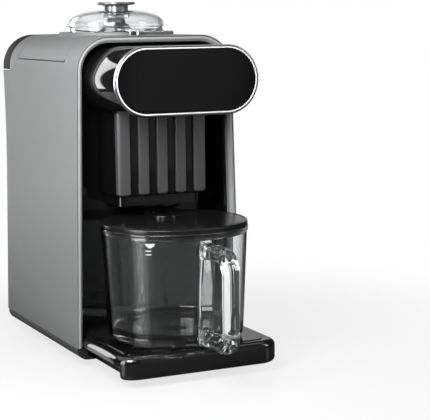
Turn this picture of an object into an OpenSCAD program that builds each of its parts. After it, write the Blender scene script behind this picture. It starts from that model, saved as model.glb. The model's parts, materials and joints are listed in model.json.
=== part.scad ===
// Bean to milk maker: blending chamber on top, outlet column and glass jug in front, water tank behind.
// Millimetres, +Z up, +Y towards the back. The floor is z = 0.

/* [Shell] */
// Half width of the shell, measured down at floor level
shell_half_w = 93.6; // [88:0.2:100]
// Lean of each side towards the middle, in degrees
side_lean = 1.38; // [0.8:0.02:2]
// Height of the top of the shell
shell_top = 336.6; // [330:0.2:345]
// Radius of the two top corners
corner_r = 35.5; // [30:0.5:40]
// Depth of the shell, from its front edge to its back edge
shell_depth = 231; // [226:0.5:240]
// Wall of the shell
shell_wall = 2.6; // [2:0.1:3.2]
// Thickness of the shell's front edge, where the frame laps it
shell_edge = 0.9; // [0.6:0.1:1.2]
// Height of the bottom edge of the shell
shell_low = 20.5; // [18:0.5:23]
// Height at which the back edge starts to sweep backwards
sweep_start = 176; // [150:1:200]
// Radius of that sweep
sweep_r = 709; // [600:1:900]
// Gap between neighbouring shell pieces
seam = 0.7; // [0.4:0.05:0.9]

/* [Front frame] */
// Width of the frame seen from the front
frame_w = 6.4; // [5:0.1:8]
// Depth of the frame
frame_depth = 9; // [6:0.5:12]
// Step along the inner edge of the frame
frame_step = 2.2; // [1.5:0.1:3]
// Depth of the bay behind the frame
bay_depth = 45; // [43:0.5:48]
// Wall of the bay liner
liner_wall = 3; // [2:0.1:4]

/* [Top cover] */
// Front edge of the cover, behind the front of the shell
cover_front = 39; // [34:0.5:42]
// Back edge of the cover
cover_back = 187; // [180:0.5:192]
// How far the cover reaches down each side from the top of the shell
cover_drop = 26.1; // [18:0.5:32]
// Radius of the lower corners of the cover
cover_corner_r = 3.5; // [2:0.5:8]
// Radius of the round deck that surrounds the chamber mouth
deck_r = 62; // [60:0.5:65]
// Height of the deck above the shell
deck_rise = 3.4; // [2:0.1:5]

/* [Head] */
// Half width of the head
head_half_w = 77.4; // [72:0.2:79]
// Half height of the head
head_half_h = 34.4; // [31:0.2:35]
// Distance from the top of the shell down to the middle of the head
head_drop = 43.1; // [41.6:0.5:45]
// How far the head stands in front of the shell
head_front = 77.7; // [65:0.5:90]
// Width of the bright ring around the touch panel
bezel_w = 3.4; // [2.5:0.1:5]
// Depth of that ring
bezel_depth = 3.2; // [2.5:0.1:5]
// Wall of the head housing
head_wall = 3; // [2:0.1:4]

/* [Column] */
// Half width of the ribbed column
column_half_w = 49; // [46:0.5:54]
// How far the column stands in front of the shell
column_front = 13; // [10:0.5:18]
// Height of the outlet housing below the column
outlet_h = 10; // [8:0.5:14]
// Number of grooves between the ribs
groove_count = 4; // [2:1:4]
// Distance from one rib to the next
rib_pitch = 20.6; // [18:0.2:21]
// Width of a rib
rib_w = 11; // [8:0.1:14]
// Depth of the grooves between the ribs
groove_depth = 3.5; // [2:0.1:5]
// Wall of the column
column_wall = 2.5; // [2:0.1:3]
// Clear height between the jug's lid and the outlet housing
outlet_clear = 11.9; // [10:0.1:16]
// Distance of the outlet behind the front of the shell
outlet_y = 21; // [18:0.5:24]
// Radius of the outlet bore
outlet_bore_r = 4; // [3:0.1:5]

/* [Base] */
// Height of the feet
foot_h = 8; // [6:0.5:10]
// Radius of the feet
foot_r = 10; // [8:0.5:12]
// Radius of the lower side edges of the base
base_edge_r = 11; // [8:0.5:12]
// Thickness of the base floor
floor_t = 3; // [2.5:0.1:4]

/* [Drip drawer] */
// Half width of the drawer
drawer_half_w = 87.3; // [84:0.2:90]
// How far the drawer stands in front of the shell
drawer_front = 105; // [100:0.5:112]
// Height of the top of the drawer
drawer_top = 31.6; // [30:0.2:34]
// Radius of the front corners seen from above
drawer_corner_r = 21; // [18:0.5:26]
// Bevel round the top edge of the drawer
drawer_bevel = 3; // [2:0.1:4]
// Height at which the sides of the drawer turn inwards
undercut_z = 22.5; // [20:0.5:24]
// Width of the drawer's rim outside its cover
drawer_margin = 12.3; // [11.5:0.1:15]
// Wall of the basin
basin_wall = 2; // [1.6:0.1:3]
// Width of the drain slots
slot_w = 3; // [2:0.1:4]
// Thickness of the drawer's cover
grille_t = 3; // [2.5:0.1:4]

/* [Jug] */
// Outer radius of the jug at its rim
jug_rim_r = 75; // [70:0.2:78]
// Outer radius of the jug near its base
jug_base_r = 69.7; // [66:0.2:72]
// Height of the jug without its lid
jug_h = 114.8; // [110:0.2:116]
// Wall of the jug
jug_wall = 3; // [2.4:0.1:4]
// Thickness of the jug's bottom
jug_bottom = 9; // [6:0.5:12]
// Radius of the jug's lower edge
jug_edge_r = 8; // [6:0.5:10]
// Radius of the boss in the middle of the jug's floor
jug_boss_r = 11; // [8:0.5:14]
// Distance of the jug's axis in front of the shell
jug_out = 38; // [36:0.5:44]
// Width of the handle
handle_w = 16; // [12:0.5:20]
// How far the handle reaches from the jug's wall
handle_reach = 62; // [52:0.5:66]
// Thickness of the grip
grip_t = 15; // [12:0.5:17]
// Thickness of the jug lid's plate
jug_lid_t = 4.7; // [4:0.1:5]
// Depth of the lid's plug
plug_h = 6; // [5:0.1:6.2]

/* [Chamber and its lid] */
// Distance of the chamber's axis behind the front of the shell
chamber_y = 106.6; // [104:0.2:109]
// Inner radius of the chamber
chamber_r = 47; // [44:0.5:48]
// Distance from the top of the shell down to the chamber's inner bottom
chamber_depth = 100.6; // [96:0.5:102]
// Thickness of the chamber's steel
chamber_t = 1.5; // [1:0.1:2]
// Outer radius of the lid's skirt
lid_skirt_r = 49.7; // [49:0.1:50.4]
// Outer radius of the lid's rim
lid_rim_r = 51.4; // [50.8:0.1:53]
// Height of the lid's rim above the shell
lid_rim_rise = 11.4; // [9.5:0.1:15]
// Rise of the lid's dome above its rim
dome_rise = 9; // [6:0.5:12]
// How round the dome's shoulder is: 1 is a plain oval, less is more square
dome_power = 0.75; // [0.6:0.05:1]
// Thickness of the lid
lid_t = 3; // [2:0.1:4]
// Radius of the knob's top
knob_r = 20.5; // [18:0.5:24]
// Radius of the knob's neck
neck_r = 13.5; // [11:0.5:15]
// Height of the knob above the dome
knob_h = 14.4; // [12:0.2:18]

/* [Drive] */
// Radius of the drive shaft
shaft_r = 4; // [3.5:0.1:4.5]
// Number of blades
blade_count = 4; // [2:1:6]
// Length of a blade from the axis
blade_len = 33; // [28:0.5:38]
// Radius of the motor's can
motor_r = 42; // [38:0.5:44]
// Height of the motor's can
motor_h = 88; // [80:1:90]
// Radius of the cooling fan
fan_r = 36; // [30:0.5:38]
// Number of fan vanes
vane_count = 9; // [5:1:13]
// Running gap between a turning piece and a fixed one
running_gap = 0.05; // [0.02:0.01:0.09]

/* [Tank] */
// Front face of the tank, behind the front of the shell
tank_front = 190; // [189:0.5:196]
// Height of the tank's underside
tank_low = 56; // [54:0.5:62]
// Gap between the top of the tank's body and its cap
tank_cap_gap = 1.1; // [0.8:0.1:2]
// Wall of the tank
tank_wall = 2.5; // [2:0.1:3]
// Depth of the dark cap at the top of the tank
cap_depth = 25; // [22:0.5:28]

/* [Hidden] */
$fn = 72;

eps = 0.01;
bite = 0.02;
gap = 0.3;
far = 2 * shell_half_w;
lean_k = tan(side_lean);
corner_z = shell_top - corner_r;
corner_x = shell_half_w - lean_k * corner_z - corner_r / cos(side_lean);
rear_low_y = shell_depth;
sweep_end = corner_z - 3;
cover_low = shell_top - cover_drop;
head_z = shell_top - head_drop;
chamber_bottom = shell_top - chamber_depth;
lid_rim_z = shell_top + lid_rim_rise;
tank_top = sweep_end - tank_cap_gap;
bay_y = bay_depth;
bulkhead_y = tank_front - 4;
bulkhead_t = 3;
floor_low = foot_h;
floor_top = floor_low + floor_t;
drawer_low = floor_low;
tongue_half_w = 80;
tongue_end = bay_y - 2;
tongue_plate_t = 3.5;
cover_top = drawer_top + 0.6;
jug_z = cover_top + gap;
jug_rim_z = jug_z + jug_h;
outlet_low = jug_rim_z + jug_lid_t + outlet_clear;
column_low = outlet_low + outlet_h;
jug_front_y = -jug_out - (jug_base_r + jug_rim_r) / 2;
handle_front_y = jug_front_y - handle_reach;
cap_back_y = rear_low_y + pow(sweep_end - sweep_start, 2) / (2 * sweep_r) + 1.2;
mid_y = (cap_back_y + handle_front_y) / 2;
deck_z = shell_top + deck_rise;
mouth_r = lid_skirt_r + 2.5;
flange_top = shell_top - shell_wall - gap;
flange_t = 1.6;
frame_plate_z = chamber_bottom - 18;
frame_plate_t = 4;
motor_top = frame_plate_z - 1;
motor_low = motor_top - motor_h;
fan_top = motor_low - 6;
fan_h = 16;
shaft_low = fan_top - fan_h - 4;
blade_z = chamber_bottom + 10;

// Half width of the shell at a height
function side_x(z) = shell_half_w - lean_k * z;

// How far the back edge of the shell lies behind its front edge at a height
function rear_y(z) = rear_low_y + (z > sweep_start ? pow(z - sweep_start, 2) / (2 * sweep_r) : 0);

// Moves the machine so that its whole footprint is centred on the origin
module placed() translate([0, -mid_y, 0]) children();

// Extrudes an outline drawn in X and Z from y0 to y1
module along_y(y0, y1) translate([0, y1, 0]) rotate([90, 0, 0]) linear_extrude(y1 - y0) children();

// Extrudes an outline drawn in Y and Z across the machine, from x0 to x1
module along_x(x0, x1) translate([x0, 0, 0]) rotate([90, 0, 90]) linear_extrude(x1 - x0) children();

// Rounded rectangle between two corners
module round_rect(a, b, r) {
  translate([a[0] + r, a[1]]) square([b[0] - a[0] - 2 * r, b[1] - a[1]]);
  translate([a[0], a[1] + r]) square([b[0] - a[0], b[1] - a[1] - 2 * r]);
  for (x = [a[0] + r, b[0] - r], y = [a[1] + r, b[1] - r]) translate([x, y]) circle(r);
}

// Outline of the shell, drawn inwards by inset and cut off at z_low
module arch(inset, z_low) {
  c = cos(side_lean);
  r = corner_r - inset;
  // The flats stand a hair inside the corners' arcs, and so cross them cleanly
  xb = side_x(0) - (inset + bite) / c;
  top = shell_top - inset - bite;
  tx = corner_x + (r - bite) * c;
  tz = corner_z + (r - bite) * sin(side_lean);
  intersection() {
    union() {
      polygon([[-xb, 0], [xb, 0], [tx, tz], [corner_x, corner_z], [corner_x, top],
        [-corner_x, top], [-corner_x, corner_z], [-tx, tz]]);
      for (s = [-1, 1]) translate([s * corner_x, corner_z]) circle(r);
    }
    translate([-shell_half_w - 1, z_low]) square([2 * shell_half_w + 2, shell_top]);
  }
}

// Wall that follows the shell's outline between two insets
module arch_wall(outer, inner, z_low) difference() {
  arch(outer, z_low);
  arch(inner, z_low - 1);
}

// Stadium outline of the head, drawn in X and Z
module stadium(half_w, half_h) translate([0, head_z]) {
  square([2 * (half_w - half_h), 2 * half_h], center = true);
  for (s = [-1, 1]) translate([s * (half_w - half_h), 0]) circle(half_h);
}

// Upright tube
module tube(r_out, r_in, z0, z1) translate([0, 0, z0]) difference() {
  cylinder(r = r_out, h = z1 - z0);
  translate([0, 0, -1]) cylinder(r = r_in, h = z1 - z0 + 2);
}

// Cylinder that lies along Y from y0 to y1
module y_cylinder(r, y0, y1) translate([0, y1, 0]) rotate([90, 0, 0]) cylinder(r = r, h = y1 - y0);

// Cylinder that lies along X from x0 to x1
module x_cylinder(r, x0, x1) translate([x0, 0, 0]) rotate([0, 90, 0]) cylinder(r = r, h = x1 - x0);

// Side view of what lies in front of the swept back edge, drawn in Y and Z
module swept_side(y_front, z_low, z_high, back_off) {
  steps = 10;
  polygon(concat([[y_front, z_high], [y_front, z_low], [rear_y(z_low) - back_off, z_low]],
    [for (i = [0:steps]) let (z = sweep_start + (z_high - sweep_start) * i / steps)
      [rear_y(z) - back_off, z]]));
}

// Base

base_w = side_x(floor_low) - 1;
foot_x = 53;
foot_rows = [-62, 70, 205];
chassis_back = rear_low_y - 1;
screw_r = 3;
lip_wall = 2;
vent_w = 3;
vent_len = 56;
vent_pitch = 6;
post_h = 30;
foot_pin_r = 3;
foot_bevel = 1.5;

module base_chassis() color("#191a1c") difference() {
  union() {
    difference() {
      along_y(seam, chassis_back) base_outline(0);
      along_y(seam + floor_t, chassis_back - floor_t) translate([0, floor_t]) base_outline(floor_t);
    }
    // Lip that stands up inside the shell
    along_y(bay_y + liner_wall + 1, chassis_back - 6) difference() {
      arch_wall(shell_wall + gap, shell_wall + gap + lip_wall, shell_low - 3);
      translate([-far, shell_low + 6]) square([2 * far, shell_top]);
    }
    // Plate that reaches forward under the drawer
    translate([-tongue_half_w + 20, -drawer_front + 20, floor_low])
      cube([2 * (tongue_half_w - 20), drawer_front - 10, tongue_plate_t]);
    // Slotted posts that hold the power board
    for (y = [board_front - 3, board_back - 1]) translate([-board_x - 3, y, floor_top - eps])
      cube([8, 4, post_h]);
  }
  // Room for the drawer's tongue
  translate([-tongue_half_w - 1, -1, floor_low + tongue_plate_t])
    cube([2 * tongue_half_w + 2, tongue_end + 1.5, drawer_top]);
  // Cooling slots below the fan
  for (i = [-5:5]) translate([i * vent_pitch - vent_w / 2, chamber_y - vent_len / 2, floor_low - 1])
    cube([vent_w, vent_len, floor_t + 2]);
  // Board slots
  translate([-board_x - gap, board_front - gap, floor_top + 0.1])
    cube([board_t + 2 * gap, board_back - board_front + 2 * gap, post_h + 1]);
  // Sockets of the feet
  for (x = [-foot_x, foot_x], y = foot_rows) translate([x, y, floor_low - 1])
    cylinder(r = foot_pin_r, h = 10);
  base_screw_holes(screw_r / 2 + 0.1);
}

// Cross-section of the base, with round lower side edges
module base_outline(inset) {
  w = base_w - inset;
  r = base_edge_r - inset / 2;
  z1 = shell_low - seam;
  translate([-w + r, floor_low]) square([2 * (w - r), z1 - floor_low]);
  intersection() {
    union() for (s = [-1, 1]) translate([s * (w - r), floor_low + r]) circle(r);
    translate([-w, floor_low]) square([2 * w, z1 - floor_low]);
  }
}

module feet() color("#26282a") for (x = [-foot_x, foot_x], y = foot_rows) translate([x, y, 0]) {
  cylinder(r1 = foot_r - 1, r2 = foot_r, h = foot_bevel);
  translate([0, 0, foot_bevel]) cylinder(r = foot_r, h = floor_low - foot_bevel);
  translate([0, 0, floor_low - eps]) cylinder(r = foot_pin_r - running_gap, h = floor_t - 0.2);
}

// The screws that hold the bay liner and the bulkhead to the base
base_screw_spots = [[-60, 1], [60, 1], [-60, -1], [60, -1]];
function screw_y(side) = side > 0 ? bay_y + liner_wall / 2 : bulkhead_y + bulkhead_t / 2;
module base_screw_holes(r) for (s = base_screw_spots)
  translate([s[0], screw_y(s[1]), floor_low - 1]) cylinder(r = r, h = floor_t + 2);
module base_screws() color("#9a9da1") for (s = base_screw_spots)
  translate([s[0], screw_y(s[1]), floor_low - 1.6]) {
    cylinder(r = screw_r, h = 1.6);
    cylinder(r = screw_r / 2 - 0.1, h = 1.6 + floor_t - gap);
  }

inlet_x = -52;
inlet_z = 36;
inlet_w = 27;
inlet_h = 20;
inlet_wall = 2;
inlet_len = 20;
module power_inlet() color("#101112") translate([inlet_x, 0, inlet_z]) difference() {
  union() {
    along_y(rear_low_y - 1, rear_low_y + 0.6) inlet_outline(inlet_wall, 2.5);
    along_y(rear_low_y - inlet_len, rear_low_y) inlet_outline(0, 2);
  }
  along_y(rear_low_y - inlet_len + 3, rear_low_y + 1) inlet_outline(-inlet_wall, 2);
}

// Outline of the socket, grown by g, with corners of radius r
module inlet_outline(g, r)
  round_rect([-inlet_w / 2 - g, -inlet_h / 2 - g], [inlet_w / 2 + g, inlet_h / 2 + g], r);

// Shell

module outer_shell() color("#8d9094") difference() {
  intersection() {
    along_y(0, cap_back_y) arch_wall(0, shell_wall, shell_low);
    along_x(-far, far) swept_side(-1, shell_low - 1, shell_top + 5, 0);
  }
  // Step that the front frame laps
  along_y(-1, lap_depth) arch_wall(shell_edge, shell_wall + 1, shell_low - 1);
  flap_cutter(0);
  // Room for the dark cap
  translate([-far, cap_back_y - cap_depth - seam, sweep_end - seam]) cube([2 * far, far, far]);
}

// Everything that the top cover fills, made smaller by a clearance
module flap_cutter(clear) {
  z0 = cover_low + clear;
  y0 = cover_front + clear;
  y1 = cover_back - clear;
  along_x(-far, far) {
    round_rect([y0, z0], [y1, z0 + 2 * cover_corner_r + 4], cover_corner_r);
    translate([y0, z0 + cover_corner_r]) square([y1 - y0, far]);
  }
}

deck_bevel = 1;
module top_cover() color("#8d9094") difference() {
  y0 = cover_front + seam;
  y1 = cover_back - seam;
  z0 = cover_low + seam;
  r = cover_corner_r - seam;
  union() {
    along_y(y0, y1) arch_wall(0, shell_wall, z0);
    translate([0, chamber_y, shell_top - shell_wall])
      cylinder(r = deck_r, h = shell_wall + deck_rise - deck_bevel);
    translate([0, chamber_y, deck_z - deck_bevel - eps])
      cylinder(r1 = deck_r, r2 = deck_r - deck_bevel, h = deck_bevel);
  }
  translate([0, chamber_y, cover_low]) cylinder(r = mouth_r + 0.5, h = far);
  // Round lower corners
  along_x(-far, far) difference() {
    for (y = [y0 - 1, y1 - r]) translate([y, z0 - 1]) square([r + 1, r + 1]);
    for (y = [y0 + r, y1 - r]) translate([y, z0 + r]) circle(r + bite);
  }
}

lap_depth = 4;
module front_frame() color("#6d7074") {
  along_y(0, frame_step) arch_wall(shell_edge + seam, frame_w - frame_step, shell_low);
  along_y(frame_step - eps, lap_depth - gap) arch_wall(shell_edge + seam, frame_w, shell_low);
  along_y(lap_depth - gap - eps, frame_depth) arch_wall(shell_wall + 0.1, frame_w, shell_low);
}

wiring_r = 8;

// Moulded liner of the bay that the jug and the head stand in
module front_fascia() color("#141517") difference() {
  union() {
    along_y(frame_depth + gap, bay_y + liner_wall)
      arch_wall(shell_wall + gap, shell_wall + gap + liner_wall, shell_low);
    along_y(bay_y, bay_y + liner_wall) arch(shell_wall + gap, shell_low);
    wall_foot(bay_y, liner_wall);
  }
  // Drawer opening
  translate([-tongue_half_w - 1.5, -5, floor_top])
    cube([2 * tongue_half_w + 3, bay_y + 5 - gap, drawer_top + 1.8 - floor_top]);
  // Drain hose and wiring openings
  for (hole = [[spout_z, spout_r + 3], [head_z, wiring_r]]) translate([0, 0, hole[0]])
    y_cylinder(hole[1], bay_y - 1, bay_y + liner_wall + 1);
}

// Narrow foot of an upright wall, which stands on the base's floor
module wall_foot(y, t) translate([-base_w + base_edge_r + 2, y, floor_top + 0.1])
  cube([2 * (base_w - base_edge_r - 2), t, shell_low + 8 - floor_top]);

module rear_bulkhead() color("#2a2c2f") difference() {
  union() {
    along_y(bulkhead_y, bulkhead_y + bulkhead_t) arch(shell_wall + 2 * gap + lip_wall, shell_low);
    wall_foot(bulkhead_y, bulkhead_t);
    // Shelf under the tank
    translate([-side_x(tank_low) + shell_wall + 1.5, bulkhead_y + bulkhead_t - eps, tank_low - gap - 3])
      cube([2 * (side_x(tank_low) - shell_wall - 1.5), rear_low_y - 4 - bulkhead_y - bulkhead_t, 3]);
  }
  translate([valve_x, 0, valve_z]) y_cylinder(valve_r + gap, bulkhead_y - 1, bulkhead_y + bulkhead_t + 1);
}

module rear_panel() color("#2a2c2f") difference() {
  intersection() {
    along_y(rear_low_y - 4, rear_low_y - 1) arch(shell_wall + gap, shell_low + 0.5);
    translate([-far, rear_low_y - 10, 0]) cube([2 * far, 20, tank_low - gap - seam]);
  }
  translate([inlet_x, 0, inlet_z]) along_y(rear_low_y - 5, rear_low_y) inlet_outline(0.2, 2);
  // Air slots
  for (i = [0:9]) translate([-10 + i * 8, rear_low_y - 6, 30]) cube([vent_w, 8, 16]);
}

// Head

lip_w = 9;
lip_t = 3;
housing_front = -head_front + bezel_depth;
chip_w = 12;
chip_pitch = 30;
module head_housing() color("#0e0f11") difference() {
  along_y(housing_front, bay_y - gap) stadium(head_half_w - 1, head_half_h - 1);
  along_y(housing_front + lip_t, bay_y + 5) stadium(head_half_w - 1 - head_wall, head_half_h - 1 - head_wall);
  along_y(housing_front - 1, housing_front + lip_t + 1) stadium(head_half_w - lip_w, head_half_h - lip_w);
}

module head_bezel() color("#d9dbde") along_y(-head_front, housing_front) difference() {
  stadium(head_half_w, head_half_h);
  stadium(head_half_w - bezel_w, head_half_h - bezel_w);
}

module touch_panel() color("#060607") along_y(-head_front + 0.6, housing_front)
  stadium(head_half_w - bezel_w - gap, head_half_h - bezel_w - gap);

module control_board() color("#1f5a3a") {
  y0 = housing_front + lip_t + 0.2;
  along_y(y0, y0 + board_t) stadium(head_half_w - head_wall - 2, head_half_h - head_wall - 2);
  for (i = [-1:1]) translate([i * chip_pitch - chip_w / 2, y0 + board_t - eps, head_z - chip_w / 2])
    cube([chip_w, 3, chip_w]);
}

// Column

column_top = head_z - head_half_h + 1 - gap;
module rib_column() color("#1b1c1e") difference() {
  translate([0, 0, column_low]) linear_extrude(column_top - column_low)
    round_rect([-column_half_w, -column_front], [column_half_w, bay_y - gap], 4);
  // Room inside
  room_front = -column_front + groove_depth + column_wall;
  translate([-column_half_w + column_wall, room_front, column_low + column_wall])
    cube([2 * (column_half_w - column_wall), far, far]);
  // Grooves between the ribs
  for (i = [0:groove_count - 1]) {
    x = (i - (groove_count - 1) / 2) * rib_pitch;
    translate([x - (rib_pitch - rib_w) / 2, -column_front - 1, column_low - 1])
      cube([rib_pitch - rib_w, groove_depth + 1, far]);
  }
  translate([0, outlet_y, column_low - 1]) cylinder(r = nozzle_r + 0.2, h = 20);
}

nozzle_r = outlet_bore_r + 3;
module outlet_housing() color("#0f1011") difference() {
  translate([0, 0, outlet_low]) linear_extrude(column_low - outlet_low - gap)
    round_rect([-column_half_w + 4, -column_front + 8], [column_half_w - 4, bay_y - gap], 6);
  translate([0, outlet_y, outlet_low - 1]) cylinder(r = nozzle_r + 0.2, h = 30);
}

module outlet_nozzle() color("#c9ccd0") translate([0, outlet_y, 0]) difference() {
  union() {
    translate([0, 0, outlet_low]) cylinder(r = nozzle_r, h = column_low + column_wall + 3 - outlet_low);
    translate([0, 0, outlet_low - 2]) cylinder(r1 = nozzle_r - 1.5, r2 = nozzle_r, h = 2);
  }
  translate([0, 0, outlet_low - 3]) cylinder(r = outlet_bore_r, h = 40);
}

spout_r = 6;
spout_z = chamber_bottom + 6;
spout_end = bay_y - 7;
valve_body_r = 12;
valve_body_z = column_low + column_wall + 3 + gap;
valve_body_h = 22;
valve_side = 18;
valve_coil_r = 9;
module drain_valve() color("#e8e6e0") translate([0, outlet_y, valve_body_z]) difference() {
  union() {
    cylinder(r = valve_body_r, h = valve_body_h);
    translate([0, 0, valve_body_h / 2]) x_cylinder(valve_coil_r, valve_body_r - 3, 38);
    translate([-valve_side / 2, -valve_side / 2, 4])
      cube([valve_side, bay_y - outlet_y + valve_side / 2 - gap, 14]);
  }
  translate([0, 0, -1]) cylinder(r = outlet_bore_r, h = valve_body_h + 2);
}

module drain_hose() color("#d8d4c8") translate([0, outlet_y, 0]) {
  z0 = valve_body_z + valve_body_h + 0.1;
  difference() {
    union() {
      translate([0, 0, z0]) cylinder(r = spout_r + 2, h = spout_z - z0);
      translate([0, 0, spout_z]) sphere(spout_r + 2);
      translate([0, 0, spout_z]) y_cylinder(spout_r + 2, 0, bay_y - 2 - outlet_y);
    }
    translate([0, 0, z0 - 1]) cylinder(r = spout_r - 1.5, h = spout_z - z0 + 1);
    translate([0, 0, spout_z]) sphere(spout_r - 1.5);
    translate([0, 0, spout_z]) y_cylinder(spout_r - 1.5, 0, bay_y);
    translate([0, 0, spout_z]) y_cylinder(spout_r + running_gap, spout_end - outlet_y - 1, bay_y);
  }
}

// Chamber and drive, drawn about the chamber's own axis

module on_axis() translate([0, chamber_y, 0]) children();

// Bowl of the chamber: the outline of its inside, grown by the thickness t
module bowl_outline(t) {
  r = chamber_r + t;
  e = 14 + t;
  z0 = chamber_bottom - t;
  translate([0, z0]) square([r - e, e]);
  translate([0, z0 + e]) square([r, flange_top - 14 - z0 - e]);
  intersection() {
    translate([r - e, z0 + e]) circle(e);
    translate([0, z0]) square([r, e]);
  }
}

module grinding_chamber() color("#b9bcc0") on_axis() difference() {
  union() {
    rotate_extrude() bowl_outline(chamber_t);
    // Mouth and flange
    translate([0, 0, flange_top - 15]) cylinder(r = mouth_r + chamber_t, h = 15 - eps);
    translate([0, 0, flange_top - flange_t]) cylinder(r = mouth_r + 2.4, h = flange_t);
    // Drain spout
    translate([0, 0, spout_z]) y_cylinder(spout_r, -chamber_y + spout_end, -chamber_r + 4);
  }
  rotate_extrude() bowl_outline(0);
  translate([0, 0, flange_top - 15 + chamber_t]) cylinder(r = mouth_r, h = 40);
  translate([0, 0, flange_top - 16]) cylinder(r = chamber_r, h = 20);
  translate([0, 0, spout_z]) y_cylinder(spout_r - 1.5, -chamber_y, -chamber_r + 6);
  translate([0, 0, chamber_bottom - 5]) cylinder(r = shaft_r + 3, h = 10);
}

// Block under the chamber that holds the seal and the upper bearing
module chamber_base() color("#3a3c40") on_axis() difference() {
  translate([0, 0, frame_plate_z + frame_plate_t + 0.1])
    cylinder(r = chamber_r - 8, h = chamber_bottom - chamber_t - frame_plate_z - frame_plate_t - 0.2);
  translate([0, 0, frame_plate_z]) cylinder(r = shaft_r + 2, h = 40);
  translate([0, 0, chamber_bottom - chamber_t - seal_h - 0.2]) cylinder(r = seal_r, h = 20);
  translate([0, 0, frame_plate_z]) cylinder(r = bearing_r, h = frame_plate_t + bearing_h + 0.2);
}

seal_r = shaft_r + 6;
seal_h = 3;
bearing_r = shaft_r + 7;
bearing_h = 6;
module shaft_seal() color("#202020") on_axis()
  tube(seal_r - running_gap, shaft_r + running_gap, chamber_bottom - chamber_t - seal_h - 0.1,
    chamber_bottom - chamber_t - 0.1);

// Bearings of the drive shaft: one in the chamber's base, one at the foot of the motor
module bearings() color("#c4c6c9") on_axis() {
  tube(bearing_r - running_gap, shaft_r + running_gap, frame_plate_z + frame_plate_t + 0.15,
    frame_plate_z + frame_plate_t + bearing_h + 0.1);
  tube(bearing_r - running_gap, shaft_r + running_gap, motor_low + 1, motor_low + 1 + bearing_h);
}

leg_x = motor_r + 7;
leg_y = 36;
leg_w = 10;
module motor_frame() color("#4a4d52") on_axis() difference() {
  union() {
    translate([-leg_x - leg_w / 2, -leg_y - leg_w / 2, frame_plate_z])
      cube([2 * leg_x + leg_w, 2 * leg_y + leg_w, frame_plate_t]);
    for (x = [-leg_x, leg_x], y = [-leg_y, leg_y]) translate([x - leg_w / 2, y - leg_w / 2, floor_top + 0.1])
      cube([leg_w, leg_w, frame_plate_z - floor_top]);
  }
  translate([0, 0, frame_plate_z - 1]) cylinder(r = bearing_r + 0.5, h = 10);
  motor_screw_spots() translate([0, 0, frame_plate_z - 1]) cylinder(r = 2.1, h = 10);
}

module motor_screw_spots() for (a = [45:90:315]) rotate(a) translate([motor_r - 8, 0, 0]) children();

can_t = 2;
module motor_case() color("#8f9296") on_axis() difference() {
  union() {
    translate([0, 0, motor_low]) cylinder(r = motor_r, h = motor_h);
    // Bosses that the frame's plate rests on
    motor_screw_spots() translate([0, 0, motor_top - eps]) cylinder(r = 4, h = 1);
  }
  translate([0, 0, motor_low + can_t]) cylinder(r = motor_r - can_t, h = motor_h - can_t - 6);
  translate([0, 0, motor_low - 1]) cylinder(r = bearing_r, h = motor_h + 5);
  motor_screw_spots() translate([0, 0, motor_top - 5]) cylinder(r = 1.9, h = 10);
  // Air slots in the can
  for (a = [0:45:315]) rotate(a) translate([0, -5, motor_low + 10]) cube([motor_r + 5, 10, 8]);
}

module motor_screws() color("#9a9da1") on_axis() motor_screw_spots() {
  translate([0, 0, frame_plate_z + frame_plate_t - 0.1 - 2.2]) cylinder(r = 2, h = 2.2);
  translate([0, 0, motor_top - 4.5]) cylinder(r = 1.8, h = frame_plate_z + frame_plate_t - motor_top + 4);
}

core_h = motor_h - 34;
core_z = motor_low + 18;
core_in_r = motor_r - can_t - 16;
pole_count = 6;
pole_w = 8;
pole_len = 12;
coil_w = 16;
coil_t = 7;
module stator() color("#8a5a32") on_axis() difference() {
  union() {
    tube(motor_r - can_t - 0.02, motor_r - can_t - 5, core_z, core_z + core_h);
    for (i = [0:pole_count - 1]) rotate(360 / pole_count * i) {
      translate([core_in_r, -pole_w / 2, core_z]) cube([pole_len, pole_w, core_h]);
      translate([core_in_r + 3, -coil_w / 2, core_z - 3]) cube([coil_t, coil_w, core_h + 6]);
    }
  }
  translate([0, 0, core_z - 5]) cylinder(r = core_in_r + 0.2, h = core_h + 10);
}

slit_w = 1.6;
module rotor() color("#6b4a34") on_axis() {
  difference() {
    union() {
      translate([0, 0, core_z]) cylinder(r = core_in_r - 0.6, h = core_h);
      translate([0, 0, core_z - 6]) cylinder(r = shaft_r + 6, h = core_h + 12);
    }
    translate([0, 0, core_z - 8]) cylinder(r = shaft_r, h = core_h + 20);
    for (a = [0:30:330]) rotate(a) translate([core_in_r - 4, -slit_w / 2, core_z - 1])
      cube([6, slit_w, core_h + 2]);
  }
}

module drive_shaft() color("#c9cbce") on_axis() translate([0, 0, shaft_low])
  cylinder(r = shaft_r, h = blade_z + 8 - shaft_low);

vane_slant = 18;
vane_t = 1.6;
module cooling_fan() color("#2b2d30") on_axis() difference() {
  union() {
    translate([0, 0, fan_top - fan_h]) cylinder(r = shaft_r + 5, h = fan_h);
    translate([0, 0, fan_top - 2]) cylinder(r = fan_r, h = 2);
    for (i = [0:vane_count - 1]) rotate(360 / vane_count * i)
      translate([shaft_r + 3, -1, fan_top - fan_h]) rotate(vane_slant)
        cube([fan_r - shaft_r - 6, vane_t, fan_h - 1]);
  }
  translate([0, 0, fan_top - fan_h - 1]) cylinder(r = shaft_r, h = fan_h + 2);
}

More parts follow.
